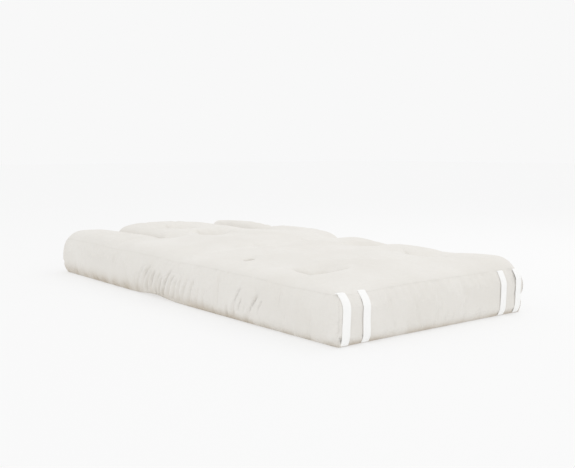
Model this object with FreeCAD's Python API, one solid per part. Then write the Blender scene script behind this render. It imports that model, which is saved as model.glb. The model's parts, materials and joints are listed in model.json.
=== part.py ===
"""Tufted futon mattress for a chair bed, in three sections that fold at two lines.

Frame: origin under the middle of the mattress, +X towards the foot end with the strap loops,
+Y towards the left long side, +Z up. Millimetres.
"""
import FreeCAD, Part
import math
import os
from FreeCAD import Vector

# ---- overall sizes -------------------------------------------------------------------------
LENGTH = 2000.0              # head end to the outside of the strap loops
WIDTH = 900.0                # over the bulge of the long sides
THICKNESS = 210.0            # at the crown
SEAT_LENGTH = 500.0          # from the middle fold to the foot fold

# ---- shape of the stuffed block ------------------------------------------------------------
CROWN_RISE = 48.0            # crown above the top seam
SIDE_BULGE = 14.0            # borders swell this far past their seams
LOWER_EDGE_RADIUS = 12.0     # rounded bottom edge, which ends at the bottom seam
SHOULDER_RADIUS = 130.0      # from the top seam up into the crown
CROWN_RADIUS_ACROSS = 6000.0
CROWN_RADIUS_ALONG = 40000.0
END_LIFT = 12.0              # the end shoulders aim this far above the crown, and meet it at a slope
FOLD_GAP = 1.0               # free space between two sections at a fold line
BORDER_ZONE = 60.0           # the borders are what the cover has this near to its outline

# ---- layers --------------------------------------------------------------------------------
CLOTH = 1.2                  # cotton cover
LOWER_PAD_TOP = 45.0         # top of the lower cotton pad
FOAM_THICKNESS = 80.0        # foam core between the two cotton pads

# ---- tufts ---------------------------------------------------------------------------------
TUFT_FLOOR_RADIUS = 16.0
TOP_DIMPLE_DEPTH = 38.0
TOP_DIMPLE_RADIUS = 80.0
BOTTOM_DIMPLE_DEPTH = 14.0
BOTTOM_DIMPLE_RADIUS = 42.0
TWINE_RADIUS = 1.5
TWINE_CLEARANCE = 0.3        # round the twine in every hole that it runs through
TUFT_PAD_RADIUS = 12.0
TUFT_PAD_THICKNESS = 3.0
KNOT_RADIUS = 4.0
KNOT_HEIGHT = 3.0
CUT_TOLERANCE = 0.001        # lets a funnel be cut cleanly where it runs over the line between two faces

# Places of the tufts: share of the section's length from its fold, share of the half width.
TUFTS = {
    "back": ((0.74, 0.11), (0.40, 0.07), (0.45, -0.40), (0.45, 0.73)),
    "seat": ((0.68, -0.67), (0.68, 0.67)),
    "foot": ((0.40, -0.58), (0.40, 0.58)),
}

# ---- strap loops at the foot end -----------------------------------------------------------
STRAP_WIDTH = 30.0
STRAP_THICKNESS = 1.5
STRAP_STAND_OFF = 8.0        # hand gap behind a loop at half height
STRAP_EDGE = 30.0            # outer strap's centre line from the long side
STRAP_PITCH = 85.0           # from the outer strap to the inner one


# ---- worked out from the sizes above -------------------------------------------------------
TOP_SEAM = THICKNESS - CROWN_RISE
BOTTOM_SEAM = LOWER_EDGE_RADIUS
SEAM_MIDDLE = (TOP_SEAM + BOTTOM_SEAM) / 2
HEAD_FACE = -LENGTH / 2
FOOT_FACE = LENGTH / 2 - STRAP_STAND_OFF - STRAP_THICKNESS
COVER_MIDDLE = (HEAD_FACE + FOOT_FACE) / 2
COVER_HALF_LENGTH = (FOOT_FACE - HEAD_FACE) / 2
FOAM_TOP = LOWER_PAD_TOP + FOAM_THICKNESS
FAR = 2 * (LENGTH + WIDTH)   # well outside the mattress
SECTIONS = {
    "back": (-FAR, -FOLD_GAP / 2),
    "seat": (FOLD_GAP / 2, SEAT_LENGTH - FOLD_GAP / 2),
    "foot": (SEAT_LENGTH + FOLD_GAP / 2, FAR),
}


def slab(x0, x1, y0, y1, z0, z1):
    """An upright box between two corners."""
    return Part.makeBox(x1 - x0, y1 - y0, z1 - z0, Vector(x0, y0, z0))


def shoulder_centre(seam, crown_z, crown_radius):
    """Centre of the arc that leaves the top seam and runs smoothly into the crown arc."""
    up = TOP_SEAM - crown_z
    span = math.hypot(seam, up)
    reach = crown_radius - SHOULDER_RADIUS
    along = (reach ** 2 - SHOULDER_RADIUS ** 2 + span ** 2) / (2 * span)
    aside = math.sqrt(reach ** 2 - along ** 2)
    return (along * seam - aside * up) / span, crown_z + (along * up + aside * seam) / span


def outline(half, top, crown_radius, place):
    """Closed cross-section of the stuffed block; place turns (u, z) into a point."""
    seam = half - SIDE_BULGE
    low = seam - LOWER_EDGE_RADIUS
    diagonal = LOWER_EDGE_RADIUS * (1 - math.sqrt(0.5))
    crown_z = top - crown_radius
    cu, cz = shoulder_centre(seam, crown_z, crown_radius)
    share = crown_radius / (crown_radius - SHOULDER_RADIUS)
    join_u = cu * share
    join_z = crown_z + (cz - crown_z) * share
    seam_angle = math.atan2(TOP_SEAM - cz, seam - cu)
    join_angle = math.atan2(join_z - cz, join_u - cu)
    middle = (seam_angle + join_angle) / 2
    mid_u = cu + SHOULDER_RADIUS * math.cos(middle)
    mid_z = cz + SHOULDER_RADIUS * math.sin(middle)

    def arc(a, b, c):
        return Part.Arc(place(*a), place(*b), place(*c)).toShape()

    edges = [Part.makeLine(place(-low, 0), place(low, 0))]
    edges.append(arc((low, 0), (seam - diagonal, diagonal), (seam, BOTTOM_SEAM)))
    edges.append(arc((seam, BOTTOM_SEAM), (half, SEAM_MIDDLE), (seam, TOP_SEAM)))
    edges.append(arc((seam, TOP_SEAM), (mid_u, mid_z), (join_u, join_z)))
    edges.append(arc((join_u, join_z), (0, top), (-join_u, join_z)))
    edges.append(arc((-join_u, join_z), (-mid_u, mid_z), (-seam, TOP_SEAM)))
    edges.append(arc((-seam, TOP_SEAM), (-half, SEAM_MIDDLE), (-seam, BOTTOM_SEAM)))
    edges.append(arc((-seam, BOTTOM_SEAM), (diagonal - seam, diagonal), (-low, 0)))
    return Part.Wire(edges)


def stuffed_block(inset):
    """The crowned block: a lengthwise prism and a crosswise one, cut to what they share."""
    across = outline(
        WIDTH / 2, THICKNESS, CROWN_RADIUS_ACROSS, lambda u, z: Vector(-FAR / 2, u, z)
    )
    along = outline(
        COVER_HALF_LENGTH,
        THICKNESS + END_LIFT,
        CROWN_RADIUS_ALONG,
        lambda u, z: Vector(COVER_MIDDLE + u, -FAR / 2, z),
    )
    if inset:
        across = across.makeOffset2D(-inset)
        along = along.makeOffset2D(-inset)
    lengthwise = Part.Face(across).extrude(Vector(FAR, 0, 0))
    crosswise = Part.Face(along).extrude(Vector(0, FAR, 0))
    return lengthwise.common(crosswise)


def crown_height(y):
    """Height of the plain crown, which changes only across the mattress."""
    return THICKNESS - CROWN_RADIUS_ACROSS + math.sqrt(CROWN_RADIUS_ACROSS ** 2 - y ** 2)


def tuft_places(section):
    """Floor points of a section's tufts."""
    fold = SEAT_LENGTH if section == "foot" else 0.0
    length = {"back": HEAD_FACE, "seat": SEAT_LENGTH, "foot": FOOT_FACE - SEAT_LENGTH}[section]
    return [(fold + share * length, side * WIDTH / 2) for share, side in TUFTS[section]]


def top_floor(y):
    """Height of the cloth at the bottom of a top dimple."""
    return crown_height(y) - TOP_DIMPLE_DEPTH


def funnel(x, y, floor, radius, depth, direction, sink):
    """Conical dimple that opens upwards (+1) or downwards (-1), sunk further by the cloth."""
    slope = (radius - TUFT_FLOOR_RADIUS) / depth
    tall = depth + CROWN_RISE
    wide = TUFT_FLOOR_RADIUS + slope * tall
    start = Vector(x, y, floor - direction * sink * math.hypot(1, 1 / slope))
    return Part.makeCone(TUFT_FLOOR_RADIUS, wide, tall, start, Vector(0, 0, direction))


def dimpled_block(section, inset):
    """One section of the stuffed block, with a funnel pulled in at both ends of every tuft."""
    x0, x1 = SECTIONS[section]
    block = stuffed_block(inset).common(slab(x0, x1, -FAR, FAR, -FAR, FAR))
    low = BOTTOM_DIMPLE_DEPTH
    for x, y in tuft_places(section):
        high = top_floor(y)
        above = funnel(x, y, high, TOP_DIMPLE_RADIUS, TOP_DIMPLE_DEPTH, 1, inset)
        below = funnel(x, y, low, BOTTOM_DIMPLE_RADIUS, low, -1, inset)
        for tool in (above, below):
            block = block.cut(tool, CUT_TOLERANCE)
    return block


def twine_holes(section):
    """Clearance holes for a section's twine, through the whole thickness."""
    radius = TWINE_RADIUS + TWINE_CLEARANCE
    places = tuft_places(section)
    return [Part.makeCylinder(radius, THICKNESS, Vector(x, y, 0)) for x, y in places]


def end_zone(face, inward):
    """Upright wedge that holds an end border, mitred at 45 degrees into the long borders."""
    half = WIDTH / 2
    corners = (
        (face - inward * BORDER_ZONE, half + BORDER_ZONE),
        (face + inward * BORDER_ZONE, half - BORDER_ZONE),
        (face + inward * BORDER_ZONE, BORDER_ZONE - half),
        (face - inward * BORDER_ZONE, -half - BORDER_ZONE),
    )
    points = [Vector(x, y, BOTTOM_SEAM) for x, y in corners]
    base = Part.Face(Part.makePolygon(points + points[:1]))
    return base.extrude(Vector(0, 0, TOP_SEAM - BOTTOM_SEAM))


def long_zone(side):
    """Upright strip that holds the left (+1) or the right (-1) border."""
    near = side * (WIDTH / 2 - BORDER_ZONE)
    far = side * FAR
    return slab(-FAR, FAR, min(near, far), max(near, far), BOTTOM_SEAM, TOP_SEAM)


def save(name, solids):
    """Write a node: one solid, or a group of like solids."""
    shape = solids[0] if len(solids) == 1 else Part.Compound(solids)
    shape.exportStep(os.path.join("parts", name + ".step"))
    print(name, len(solids), round(shape.Volume))


def cover_and_fill(section):
    """A section's sewn cover, panel by panel, and the three layers inside it."""
    outer = dimpled_block(section, 0)
    inner = dimpled_block(section, CLOTH)
    shell = outer.cut(inner).cut(twine_holes(section))
    fill = inner.cut(twine_holes(section))
    ends = {"head": end_zone(HEAD_FACE, 1), "foot": end_zone(FOOT_FACE, -1)}
    sides = {"left": long_zone(1), "right": long_zone(-1)}
    zones = list(ends.values()) + list(sides.values())
    upper = slab(-FAR, FAR, -FAR, FAR, SEAM_MIDDLE, FAR)
    lower = slab(-FAR, FAR, -FAR, FAR, -FAR, SEAM_MIDDLE)
    save("cover_top_" + section, shell.common(upper).cut(zones).Solids)
    save("cover_bottom_" + section, shell.common(lower).cut(zones).Solids)
    for side, zone in sides.items():
        strip = shell.common(zone).cut(list(ends.values()))
        save("border_%s_%s" % (side, section), strip.Solids)
    end = {"back": "head", "foot": "foot"}.get(section)
    if end:
        save("border_" + end, shell.common(ends[end]).Solids)
    layers = (
        ("fibre_pad_lower_", 0, LOWER_PAD_TOP),
        ("foam_core_", LOWER_PAD_TOP, FOAM_TOP),
        ("fibre_pad_upper_", FOAM_TOP, THICKNESS),
    )
    for name, z0, z1 in layers:
        save(name + section, fill.common(slab(-FAR, FAR, -FAR, FAR, z0, z1)).Solids)
    return outer


def tuft(x, y):
    """One tuft: the twine with its two knots, the top pad and the bottom pad."""
    top = top_floor(y)
    low = BOTTOM_DIMPLE_DEPTH
    hole_radius = TWINE_RADIUS + TWINE_CLEARANCE
    top_knot = top + TUFT_PAD_THICKNESS
    low_knot = low - TUFT_PAD_THICKNESS - KNOT_HEIGHT
    twine = Part.makeCylinder(TWINE_RADIUS, top_knot - low, Vector(x, y, low))
    for z, height in ((top_knot, KNOT_HEIGHT), (low_knot, KNOT_HEIGHT)):
        twine = twine.fuse(Part.makeCylinder(KNOT_RADIUS, height, Vector(x, y, z)))
    neck = Part.makeCylinder(TWINE_RADIUS, TUFT_PAD_THICKNESS, Vector(x, y, low_knot + KNOT_HEIGHT))
    twine = twine.fuse(neck).removeSplitter()
    pads = []
    for z in (top, low - TUFT_PAD_THICKNESS):
        disc = Part.makeCylinder(TUFT_PAD_RADIUS, TUFT_PAD_THICKNESS, Vector(x, y, z))
        pads.append(disc.cut(Part.makeCylinder(hole_radius, TUFT_PAD_THICKNESS, Vector(x, y, z))))
    return twine.Solids[0], pads[0].Solids[0], pads[1].Solids[0]


def tufts(section):
    """A section's twines, top pads and bottom pads."""
    pieces = [tuft(x, y) for x, y in tuft_places(section)]
    for index, name in enumerate(("tuft_twines_", "tuft_pads_top_", "tuft_pads_bottom_")):
        save(name + section, [piece[index] for piece in pieces])


def strap_band():
    """Side view of a strap loop: a band that leaves the top seam and ends at the bottom seam."""
    seam = FOOT_FACE - SIDE_BULGE
    crest = LENGTH / 2
    rows = ((0.0, crest), (STRAP_THICKNESS, crest - STRAP_THICKNESS))
    arcs = []
    for inset, middle in rows:
        top = Vector(seam - inset, 0, TOP_SEAM)
        low = Vector(seam - inset, 0, BOTTOM_SEAM)
        arcs.append(Part.Arc(top, Vector(middle, 0, SEAM_MIDDLE), low).toShape())
    caps = [
        Part.makeLine(Vector(seam, 0, z), Vector(seam - STRAP_THICKNESS, 0, z))
        for z in (TOP_SEAM, BOTTOM_SEAM)
    ]
    return Part.Face(Part.Wire([arcs[0], caps[1], arcs[1], caps[0]]))


def strap_loops(outer):
    """Four webbing loops sewn into the seams of the foot border, two at each corner."""
    far_out = WIDTH / 2 - STRAP_EDGE
    centres = (-far_out, STRAP_PITCH - far_out, far_out - STRAP_PITCH, far_out)
    for number, centre in enumerate(centres, start=1):
        band = strap_band().extrude(Vector(0, STRAP_WIDTH, 0))
        band.translate(Vector(0, centre - STRAP_WIDTH / 2, 0))
        save("strap_loop_%d" % number, band.cut(outer).Solids)


def main():
    os.makedirs("parts", exist_ok=True)
    for section in SECTIONS:
        outer = cover_and_fill(section)
        tufts(section)
        if section == "foot":
            strap_loops(outer)


main()
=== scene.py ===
"""Tufted futon mattress for a chair bed: cotton cover, cotton pads, foam core, tufts and strap loops."""
import json
import math

import bmesh
import bpy
import numpy as np
from bpy.props import FloatProperty, FloatVectorProperty, IntProperty, PointerProperty
from bpy.types import Operator, Panel, PropertyGroup
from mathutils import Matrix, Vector
from mathutils.bvhtree import BVHTree


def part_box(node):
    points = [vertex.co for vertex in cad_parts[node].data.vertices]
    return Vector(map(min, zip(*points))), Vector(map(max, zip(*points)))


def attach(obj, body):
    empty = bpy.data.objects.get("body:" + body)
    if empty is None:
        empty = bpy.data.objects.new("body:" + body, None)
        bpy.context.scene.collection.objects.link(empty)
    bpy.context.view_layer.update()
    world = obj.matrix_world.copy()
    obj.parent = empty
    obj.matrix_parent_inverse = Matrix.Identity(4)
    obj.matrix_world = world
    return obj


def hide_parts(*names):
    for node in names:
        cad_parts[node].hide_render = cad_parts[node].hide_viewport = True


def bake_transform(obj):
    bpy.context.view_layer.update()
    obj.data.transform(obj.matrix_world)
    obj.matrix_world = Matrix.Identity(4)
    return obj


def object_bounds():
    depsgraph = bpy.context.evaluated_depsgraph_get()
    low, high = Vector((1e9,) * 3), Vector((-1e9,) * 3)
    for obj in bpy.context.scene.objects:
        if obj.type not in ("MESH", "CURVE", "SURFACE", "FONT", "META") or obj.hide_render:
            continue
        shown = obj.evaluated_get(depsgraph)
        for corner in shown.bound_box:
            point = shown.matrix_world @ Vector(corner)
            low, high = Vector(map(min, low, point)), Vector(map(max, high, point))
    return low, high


bl_info = {
    "name": "Futon Mattress Builder",
    "version": (1, 0, 0),
    "blender": (4, 5, 0),
    "location": "3D View > Sidebar > Mattress",
    "description": "Builds a tufted folding futon mattress round its packed frame",
    "category": "Add Mesh",
}

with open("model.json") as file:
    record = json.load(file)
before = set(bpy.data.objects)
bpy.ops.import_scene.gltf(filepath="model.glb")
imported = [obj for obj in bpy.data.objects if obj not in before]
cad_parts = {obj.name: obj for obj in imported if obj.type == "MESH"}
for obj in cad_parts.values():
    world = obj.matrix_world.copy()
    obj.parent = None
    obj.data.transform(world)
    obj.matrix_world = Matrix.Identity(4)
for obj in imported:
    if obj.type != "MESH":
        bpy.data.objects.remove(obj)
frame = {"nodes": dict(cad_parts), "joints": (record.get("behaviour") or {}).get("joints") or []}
CAD_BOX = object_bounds()

# ---- what the frame says ---------------------------------------------------------------------
BOX_HIGH = np.array(CAD_BOX[1])
HEAD_BORDER = [np.array(c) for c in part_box("border_head")]
HEAD_X = float(HEAD_BORDER[0][0])
HALF_WIDTH = float(BOX_HIGH[1])
CROWN_Z = float(BOX_HIGH[2])
TOP_SEAM_Z = float(HEAD_BORDER[1][2])
SEAM_SAG = 0.25                   # the filled cover's weight lets its bottom seam down to this share
STRAP_DEPTH = 0.002               # room for the strap loops, in front of the foot end's cloth
BOTTOM_SEAM_Z = SEAM_SAG * float(HEAD_BORDER[0][2])
FOOT_FACE_X = float(BOX_HIGH[0]) - STRAP_DEPTH
MIDDLE_X = (HEAD_X + FOOT_FACE_X) / 2
HALF_LENGTH = (FOOT_FACE_X - HEAD_X) / 2
JOINTS = {joint["name"]: joint for joint in frame["joints"]}
BACK_FOLD_X = float(JOINTS["back_fold"]["pos_m"][0])
FOOT_FOLD_X = float(JOINTS["foot_fold"]["pos_m"][0])
HALVES_MEET_X = (BACK_FOLD_X + FOOT_FOLD_X) / 2
APART = 0.05                      # like solids of one node are farther apart than this


def like_solids(node):
    """Places (x, y, z) of the like solids that a grouped CAD node holds, from its own points."""
    groups = []
    for vertex in frame["nodes"][node].data.vertices:
        point = np.array(vertex.co)
        near = [g for g in groups if np.hypot(*(g[0] - point)[:2]) < APART]
        if near:
            near[0].append(point)
        else:
            groups.append([point])
    return [(np.min(g, axis=0) + np.max(g, axis=0)) / 2 for g in groups]


SECTIONS = ("back", "seat", "foot")
TUFTS = {body: like_solids("tuft_pads_top_" + body) for body in SECTIONS}
UNDER_TUFTS = {body: like_solids("tuft_pads_bottom_" + body) for body in SECTIONS}
PAD_HALF = 0.0015                 # half a tuft pad's thickness
PAD_SEAT = 0.012                  # radius of the cloth that lies flat against a tuft pad
made = {}                         # the skin, handed from the cover to the pieces on and in it


# ---- sizes and colours that a user would change ------------------------------------------------
class CoverSettings(PropertyGroup):
    """Sizes and colours of the cotton cover."""
    cell: FloatProperty(name="Cell", description="Spacing of the cover's first mesh",
                        default=0.0100, unit="LENGTH")
    cloth: FloatProperty(name="Cloth", description="Thickness of the cotton",
                         default=0.0012, unit="LENGTH")
    shoulder: FloatProperty(name="Shoulder", description="Radius of the rounded top edge",
                            default=0.070, unit="LENGTH")
    dimple: FloatProperty(name="Dimple reach", description="How far a tuft pulls the cloth round it",
                          default=0.068, unit="LENGTH")
    head_corner: FloatProperty(name="Head corner", description="Radius of the head's corners in plan",
                               default=0.026, unit="LENGTH")
    foot_corner: FloatProperty(name="Foot corner", description="Radius of the foot's corners in plan",
                               default=0.008, unit="LENGTH")
    seam_inset: FloatProperty(name="Seam inset", description="How far the top seam leans over the borders",
                              default=0.014, unit="LENGTH")
    under: FloatProperty(name="Roll under", description="How far the bottom edge rolls in to the floor",
                         default=0.006, unit="LENGTH")
    foot_over: FloatProperty(name="Foot over", description="How far the foot end leans in at the top",
                             default=0.016, unit="LENGTH")
    foot_under: FloatProperty(name="Foot under", description="How far the foot end leans in at the bottom",
                              default=0.010, unit="LENGTH")
    belly: FloatProperty(name="Belly", description="How far the borders bulge between the seams",
                         default=0.006, unit="LENGTH")
    slack: FloatProperty(name="Slack", description="Share by which the cloth is longer than the filling",
                         default=0.03)
    swell: FloatProperty(name="Swell", description="Farthest that the simulation moves the cloth",
                         default=0.010, unit="LENGTH")
    cotton: FloatVectorProperty(name="Cotton", description="Colour of the undyed cotton",
                                default=(0.810, 0.790, 0.753), subtype="COLOR", min=0, max=1)


def smooth(t):
    """Smooth step from 0 to 1 of an array."""
    t = np.clip(t, 0, 1)
    return t * t * (3 - 2 * t)


def fade(value, start, reach):
    """Smooth step of a value that leaves 0 at the start and is 1 past the reach."""
    return smooth((value - start) / reach)


def bell(d, width):
    """Soft bump of height 1 that has faded at about twice its width."""
    return np.exp(-((d / width) ** 2))


def tent(d, width):
    """Bump of height 1 with a narrow tip, as cloth has where a thread pulls it."""
    tip = 0.15 * width
    return np.exp(-(np.sqrt(d ** 2 + tip ** 2) - tip) / width)


# ---- the first mesh: a box of squares, wrapped round the stuffed shape -------------------------
def box_lattice(nx, ny, nz):
    """Surface of a box of nx by ny by nz cells: lattice points, and quads with outward faces."""
    index = -np.ones((nx + 1, ny + 1, nz + 1), int)
    i, j, k = np.meshgrid(*(np.arange(n + 1) for n in (nx, ny, nz)), indexing="ij")
    shell = (i % nx == 0) | (j % ny == 0) | (k % nz == 0)
    index[shell] = np.arange(shell.sum())
    points = np.stack([i[shell], j[shell], k[shell]], axis=1)
    quads = []
    for grid, outward in (
        (index[:, :, nz], True), (index[:, :, 0], False), (index[0], False),
        (index[nx], True), (index[:, 0], True), (index[:, ny], False),
    ):
        a, b, c, d = grid[:-1, :-1], grid[1:, :-1], grid[1:, 1:], grid[:-1, 1:]
        ring = (a, b, c, d) if outward else (a, d, c, b)
        quads.append(np.stack([r.ravel() for r in ring], axis=1))
    return points, np.concatenate(quads)


SHOULDER_POWERS = (2.2, 1.7)      # an arc has 2 and 2; these are a little plumper


def shoulder_rise(d, radius):
    """Rise of the crown at a distance d in from the top seam, as a share of its height."""
    s = np.clip(d / radius, 0, 1)
    return (1 - (1 - s) ** SHOULDER_POWERS[0]) ** (1 / SHOULDER_POWERS[1])


def valley(x, y, ends, depths, width):
    """Depth of a valley that the twine pulls into the top, along a line between two points."""
    (ax, ay), (bx, by) = ends
    length = math.hypot(bx - ax, by - ay)
    t = ((x - ax) * (bx - ax) + (y - ay) * (by - ay)) / length ** 2
    along = np.clip(t, 0, 1)
    off = np.hypot(x - ax - along * (bx - ax), y - ay - along * (by - ay))
    return (depths[0] + (depths[1] - depths[0]) * along) * tent(off, width)


# Broad valleys in the top: two end points, depth at each, width. The first two run in from the head.
VALLEYS = (
    (((-1.05, -0.21), (-0.45, -0.18)), (0.036, 0.022), 0.032),
    (((-1.05, 0.372), (-0.45, 0.3285)), (0.046, 0.018), 0.024),
    (((-0.74, 0.0495), (-0.40, 0.0315)), (0.008, 0.008), 0.040),
    (((0.04, -0.45), (0.125, -0.073)), (0.004, 0.012), 0.05),
    (((0.125, -0.073), (0.08, 0.20)), (0.012, 0.010), 0.05),
    (((0.08, 0.20), (0.07, 0.50)), (0.010, 0.034), 0.045),
)
# Sharp creases in the top: a line of points, depth, width. They end soft.
CREASES = (
    (((-1.02, -0.195), (-0.92, -0.197), (-0.70, -0.192), (-0.43, -0.180)), 0.048, 0.010),
    (((-1.02, 0.372), (-0.92, 0.366), (-0.70, 0.348), (-0.43, 0.326)), 0.048, 0.010),
    (((-0.82, 0.010), (-0.76, 0.040), (-0.70, 0.090), (-0.68, 0.130)), 0.046, 0.013),
    (((-0.49, -0.020), (-0.42, 0.020), (-0.36, 0.075), (-0.34, 0.110)), 0.046, 0.013),
    (((0.605, -0.325), (0.675, -0.288), (0.735, -0.243), (0.785, -0.195)), 0.034, 0.009),
    (((0.56, 0.270), (0.665, 0.230), (0.745, 0.232), (0.83, 0.262)), 0.020, 0.010),
    (((0.30, 0.255), (0.36, 0.290), (0.44, 0.315)), 0.012, 0.010),
    (((0.09, -0.110), (0.14, -0.060)), 0.006, 0.012),
    (((0.05, 0.170), (0.11, 0.215)), 0.006, 0.012),
    (((0.06, 0.36), (0.07, 0.48)), 0.014, 0.012),
)
# Plumper and flatter places of the top: middle, reach along and across, height.
LOBES = (
    ((-0.55, 0.08), (0.55, 0.22), 0.014),
    ((-0.50, 0.43), (0.52, 0.08), 0.024),
    ((-0.75, 0.25), (0.42, 0.10), -0.010),
    ((-0.67, 0.00), (0.12, 0.07), -0.014),
    ((-0.34, -0.03), (0.12, 0.07), -0.012),
    ((-0.80, -0.36), (0.40, 0.17), -0.008),
    ((0.30, 0.40), (0.16, 0.14), 0.006),
)


# Where the crown's edge changes along x or across y: start and reach of each change.
SLACK_X, SLACK_Y = (-0.65, 0.75), (0, 0.15)       # the seat's and the foot's right side is slack
FULL_HEAD_X, FULL_FOOT_X = (-0.15, 0.2), (0.7, 0.2)     # the left edge is fuller towards both ends
FULL_Y, FULL_END_Y = (0, 0.2), (0.05, 0.35)
SLACK_EDGE, SLACK_SLOPE = 0.06, 0.30              # reach of the slack crown's round edge and of its slope
HEAD_LEAN, FOOT_SHOULDER = 0.4, 0.06
EDGE_POWER = 2.5                  # how squarely the crown's edges meet at its corners
CROWN_FALL = 0.04                 # the crown's fall from its middle line to the long sides, as a share
TIGHT_Y = -0.25                   # the seat's tuft on this side is tied tighter and draws in less cloth
TIGHT_REACH, TIGHT_PINCH = 0.25, 0.12


def slack_rise(d):
    """Rise of the crown where the filling is slack: a small round edge, then a long gentle slope."""
    return 0.36 * shoulder_rise(d, SLACK_EDGE) + 0.64 * smooth(d / SLACK_SLOPE)


def top_share(x, y, cover):
    """How far up the crown a point of the plan is, from 0 at the top seam to 1."""
    from_side = HALF_WIDTH - cover.seam_inset - np.abs(y)
    slack = fade(x, *SLACK_X) * fade(-y, *SLACK_Y)
    full_ends = fade(-x, *FULL_HEAD_X) + 0.7 * fade(x, *FULL_FOOT_X)
    crisp = 1 - 0.65 * fade(y, *FULL_Y) * full_ends
    side = slack * slack_rise(from_side) + (1 - slack) * shoulder_rise(from_side, cover.shoulder * crisp)
    head = shoulder_rise(x - HEAD_X - HEAD_LEAN * cover.seam_inset, 0.8 * cover.shoulder)
    from_foot = FOOT_FACE_X - cover.foot_over - x
    full = fade(y, *FULL_END_Y)
    foot = full * shoulder_rise(from_foot, FOOT_SHOULDER) + (1 - full) * slack_rise(from_foot)
    edges = np.stack([1 - head, 1 - foot, 1 - side])
    return 1 - np.clip((edges ** EDGE_POWER).sum(axis=0) ** (1 / EDGE_POWER), 0, 1)


def plump_height(x, y, cover):
    """Height of the stuffed top before its tufts are tied."""
    lobes = np.zeros_like(x)
    for (mx, my), (along, across), high in LOBES:
        lobes += high * np.exp(-np.abs((x - mx) / along) ** 4 - np.abs((y - my) / across) ** 4)
    rise = CROWN_Z - TOP_SEAM_Z + lobes
    return TOP_SEAM_Z + rise * top_share(x, y, cover) * (1 - CROWN_FALL * (y / HALF_WIDTH) ** 2)


def tied_tight(tuft):
    """Whether a tuft is the tighter one."""
    return tuft[1] < TIGHT_Y and tuft[0] < FOOT_FOLD_X


PINCHES = 9                       # short creases round a tuft
PINCH_LENGTH, PINCH_DEPTH, PINCH_WIDTH = (0.05, 0.12), (0.002, 0.006), 0.007


def pinch(x, y, tuft, seed):
    """Depth of the short creases that run out from a tuft, with their sizes and ways drawn by seed."""
    draw = np.random.default_rng(seed)
    r = np.hypot(x - tuft[0], y - tuft[1])
    angle = np.arctan2(y - tuft[1], x - tuft[0])
    depth = np.zeros_like(r)
    for k in range(PINCHES):
        way = 2 * math.pi * (k + draw.uniform(-0.35, 0.35)) / PINCHES
        long = draw.uniform(*PINCH_LENGTH)
        deep = draw.uniform(*PINCH_DEPTH)
        off = np.abs((angle - way + math.pi) % (2 * math.pi) - math.pi) * r
        past_pad = fade(r, PAD_SEAT, 0.02)
        depth += deep * tent(off, PINCH_WIDTH) * past_pad * smooth((long - r) / 0.05)
    return depth


def top_height(x, y, cover):
    """Height of the crowned top, with its tufts and valleys, over points of the plan."""
    z = plump_height(x, y, cover)
    share = top_share(x, y, cover)
    pull = np.zeros_like(z)
    for ends, depths, width in VALLEYS:
        pull = np.maximum(pull, valley(x, y, ends, depths, width))
    crease = np.zeros_like(z)
    for body, places in TUFTS.items():
        for k, tuft in enumerate(places):
            here = plump_height(np.array([tuft[0]]), np.array([tuft[1]]), cover)[0]
            deep = here - (tuft[2] - PAD_HALF)
            r = np.hypot(x - tuft[0], y - tuft[1])
            reach = cover.dimple * (TIGHT_REACH if tied_tight(tuft) else 1)
            hollow = 0.5 * tent(r, reach) + 0.5 * (1 - smooth(r / (1.5 * reach)))
            pull = np.maximum(pull, deep * hollow)
            creased = pinch(x, y, tuft, 11 + 7 * k + SECTIONS.index(body))
            crease += (TIGHT_PINCH if tied_tight(tuft) else 1) * creased
    z = z - pull - crease * smooth(4 * share)
    return np.maximum(z, TOP_SEAM_Z - 0.002 + 0.01 * share)


def round_corner(x, y, half_x, half_y, radii):
    """Turns the plan's square corners into arcs, of one radius at the head and one at the foot."""
    px, py = x - MIDDLE_X, y
    radius = np.where(px < 0, *radii)
    u = np.maximum(np.abs(px) - (half_x - radius), 0) / radius
    v = np.maximum(np.abs(py) - (half_y - radius), 0) / radius
    qu = u * np.sqrt(np.maximum(1 - v ** 2 / 2, 0))
    qv = v * np.sqrt(np.maximum(1 - u ** 2 / 2, 0))
    nx = np.sign(px) * (np.abs(px) + (qu - u) * radius)
    ny = np.sign(py) * (np.abs(py) + (qv - v) * radius)
    return nx + MIDDLE_X, ny


LEAN_FROM, LEAN_POWER = 0.45, 2.2      # share of a border's height where it starts to lean in, and how
ROLL_BELOW = 0.30                      # share of a border's height below which it rolls under
HEAD_REACH, FOOT_REACH = 0.16, 0.20    # shares of the length in which the sides change to the ends
LIFT_X, LIFT_HEIGHT, LIFT_REACH = -0.10, 0.010, 0.10     # the right bottom edge lifts beside the back fold


def border_insets(u, v, c, cover):
    """How far the ends and the sides stand in, at shares u, v, c along, across and up."""
    lean = np.clip((c - LEAN_FROM) / (1 - LEAN_FROM), 0, 1) ** LEAN_POWER
    roll = np.clip(1 - c / ROLL_BELOW, 0, 1) ** 2
    swell = cover.belly * 4 * c * (1 - c)
    head, foot = smooth((HEAD_REACH - u) / HEAD_REACH), fade(u, 1 - FOOT_REACH, FOOT_REACH)
    sides = cover.seam_inset * (1 - 0.5 * head) * lean + cover.under * roll - swell * (1 - foot)
    at_head = HEAD_LEAN * cover.seam_inset * lean + cover.under * roll - swell
    at_foot = (cover.foot_over * lean + cover.foot_under * roll) * (1 - 0.5 * (2 * v - 1) ** 8)
    at_foot -= 0.5 * swell
    return np.where(u < 0.5, at_head, at_foot), sides


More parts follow.
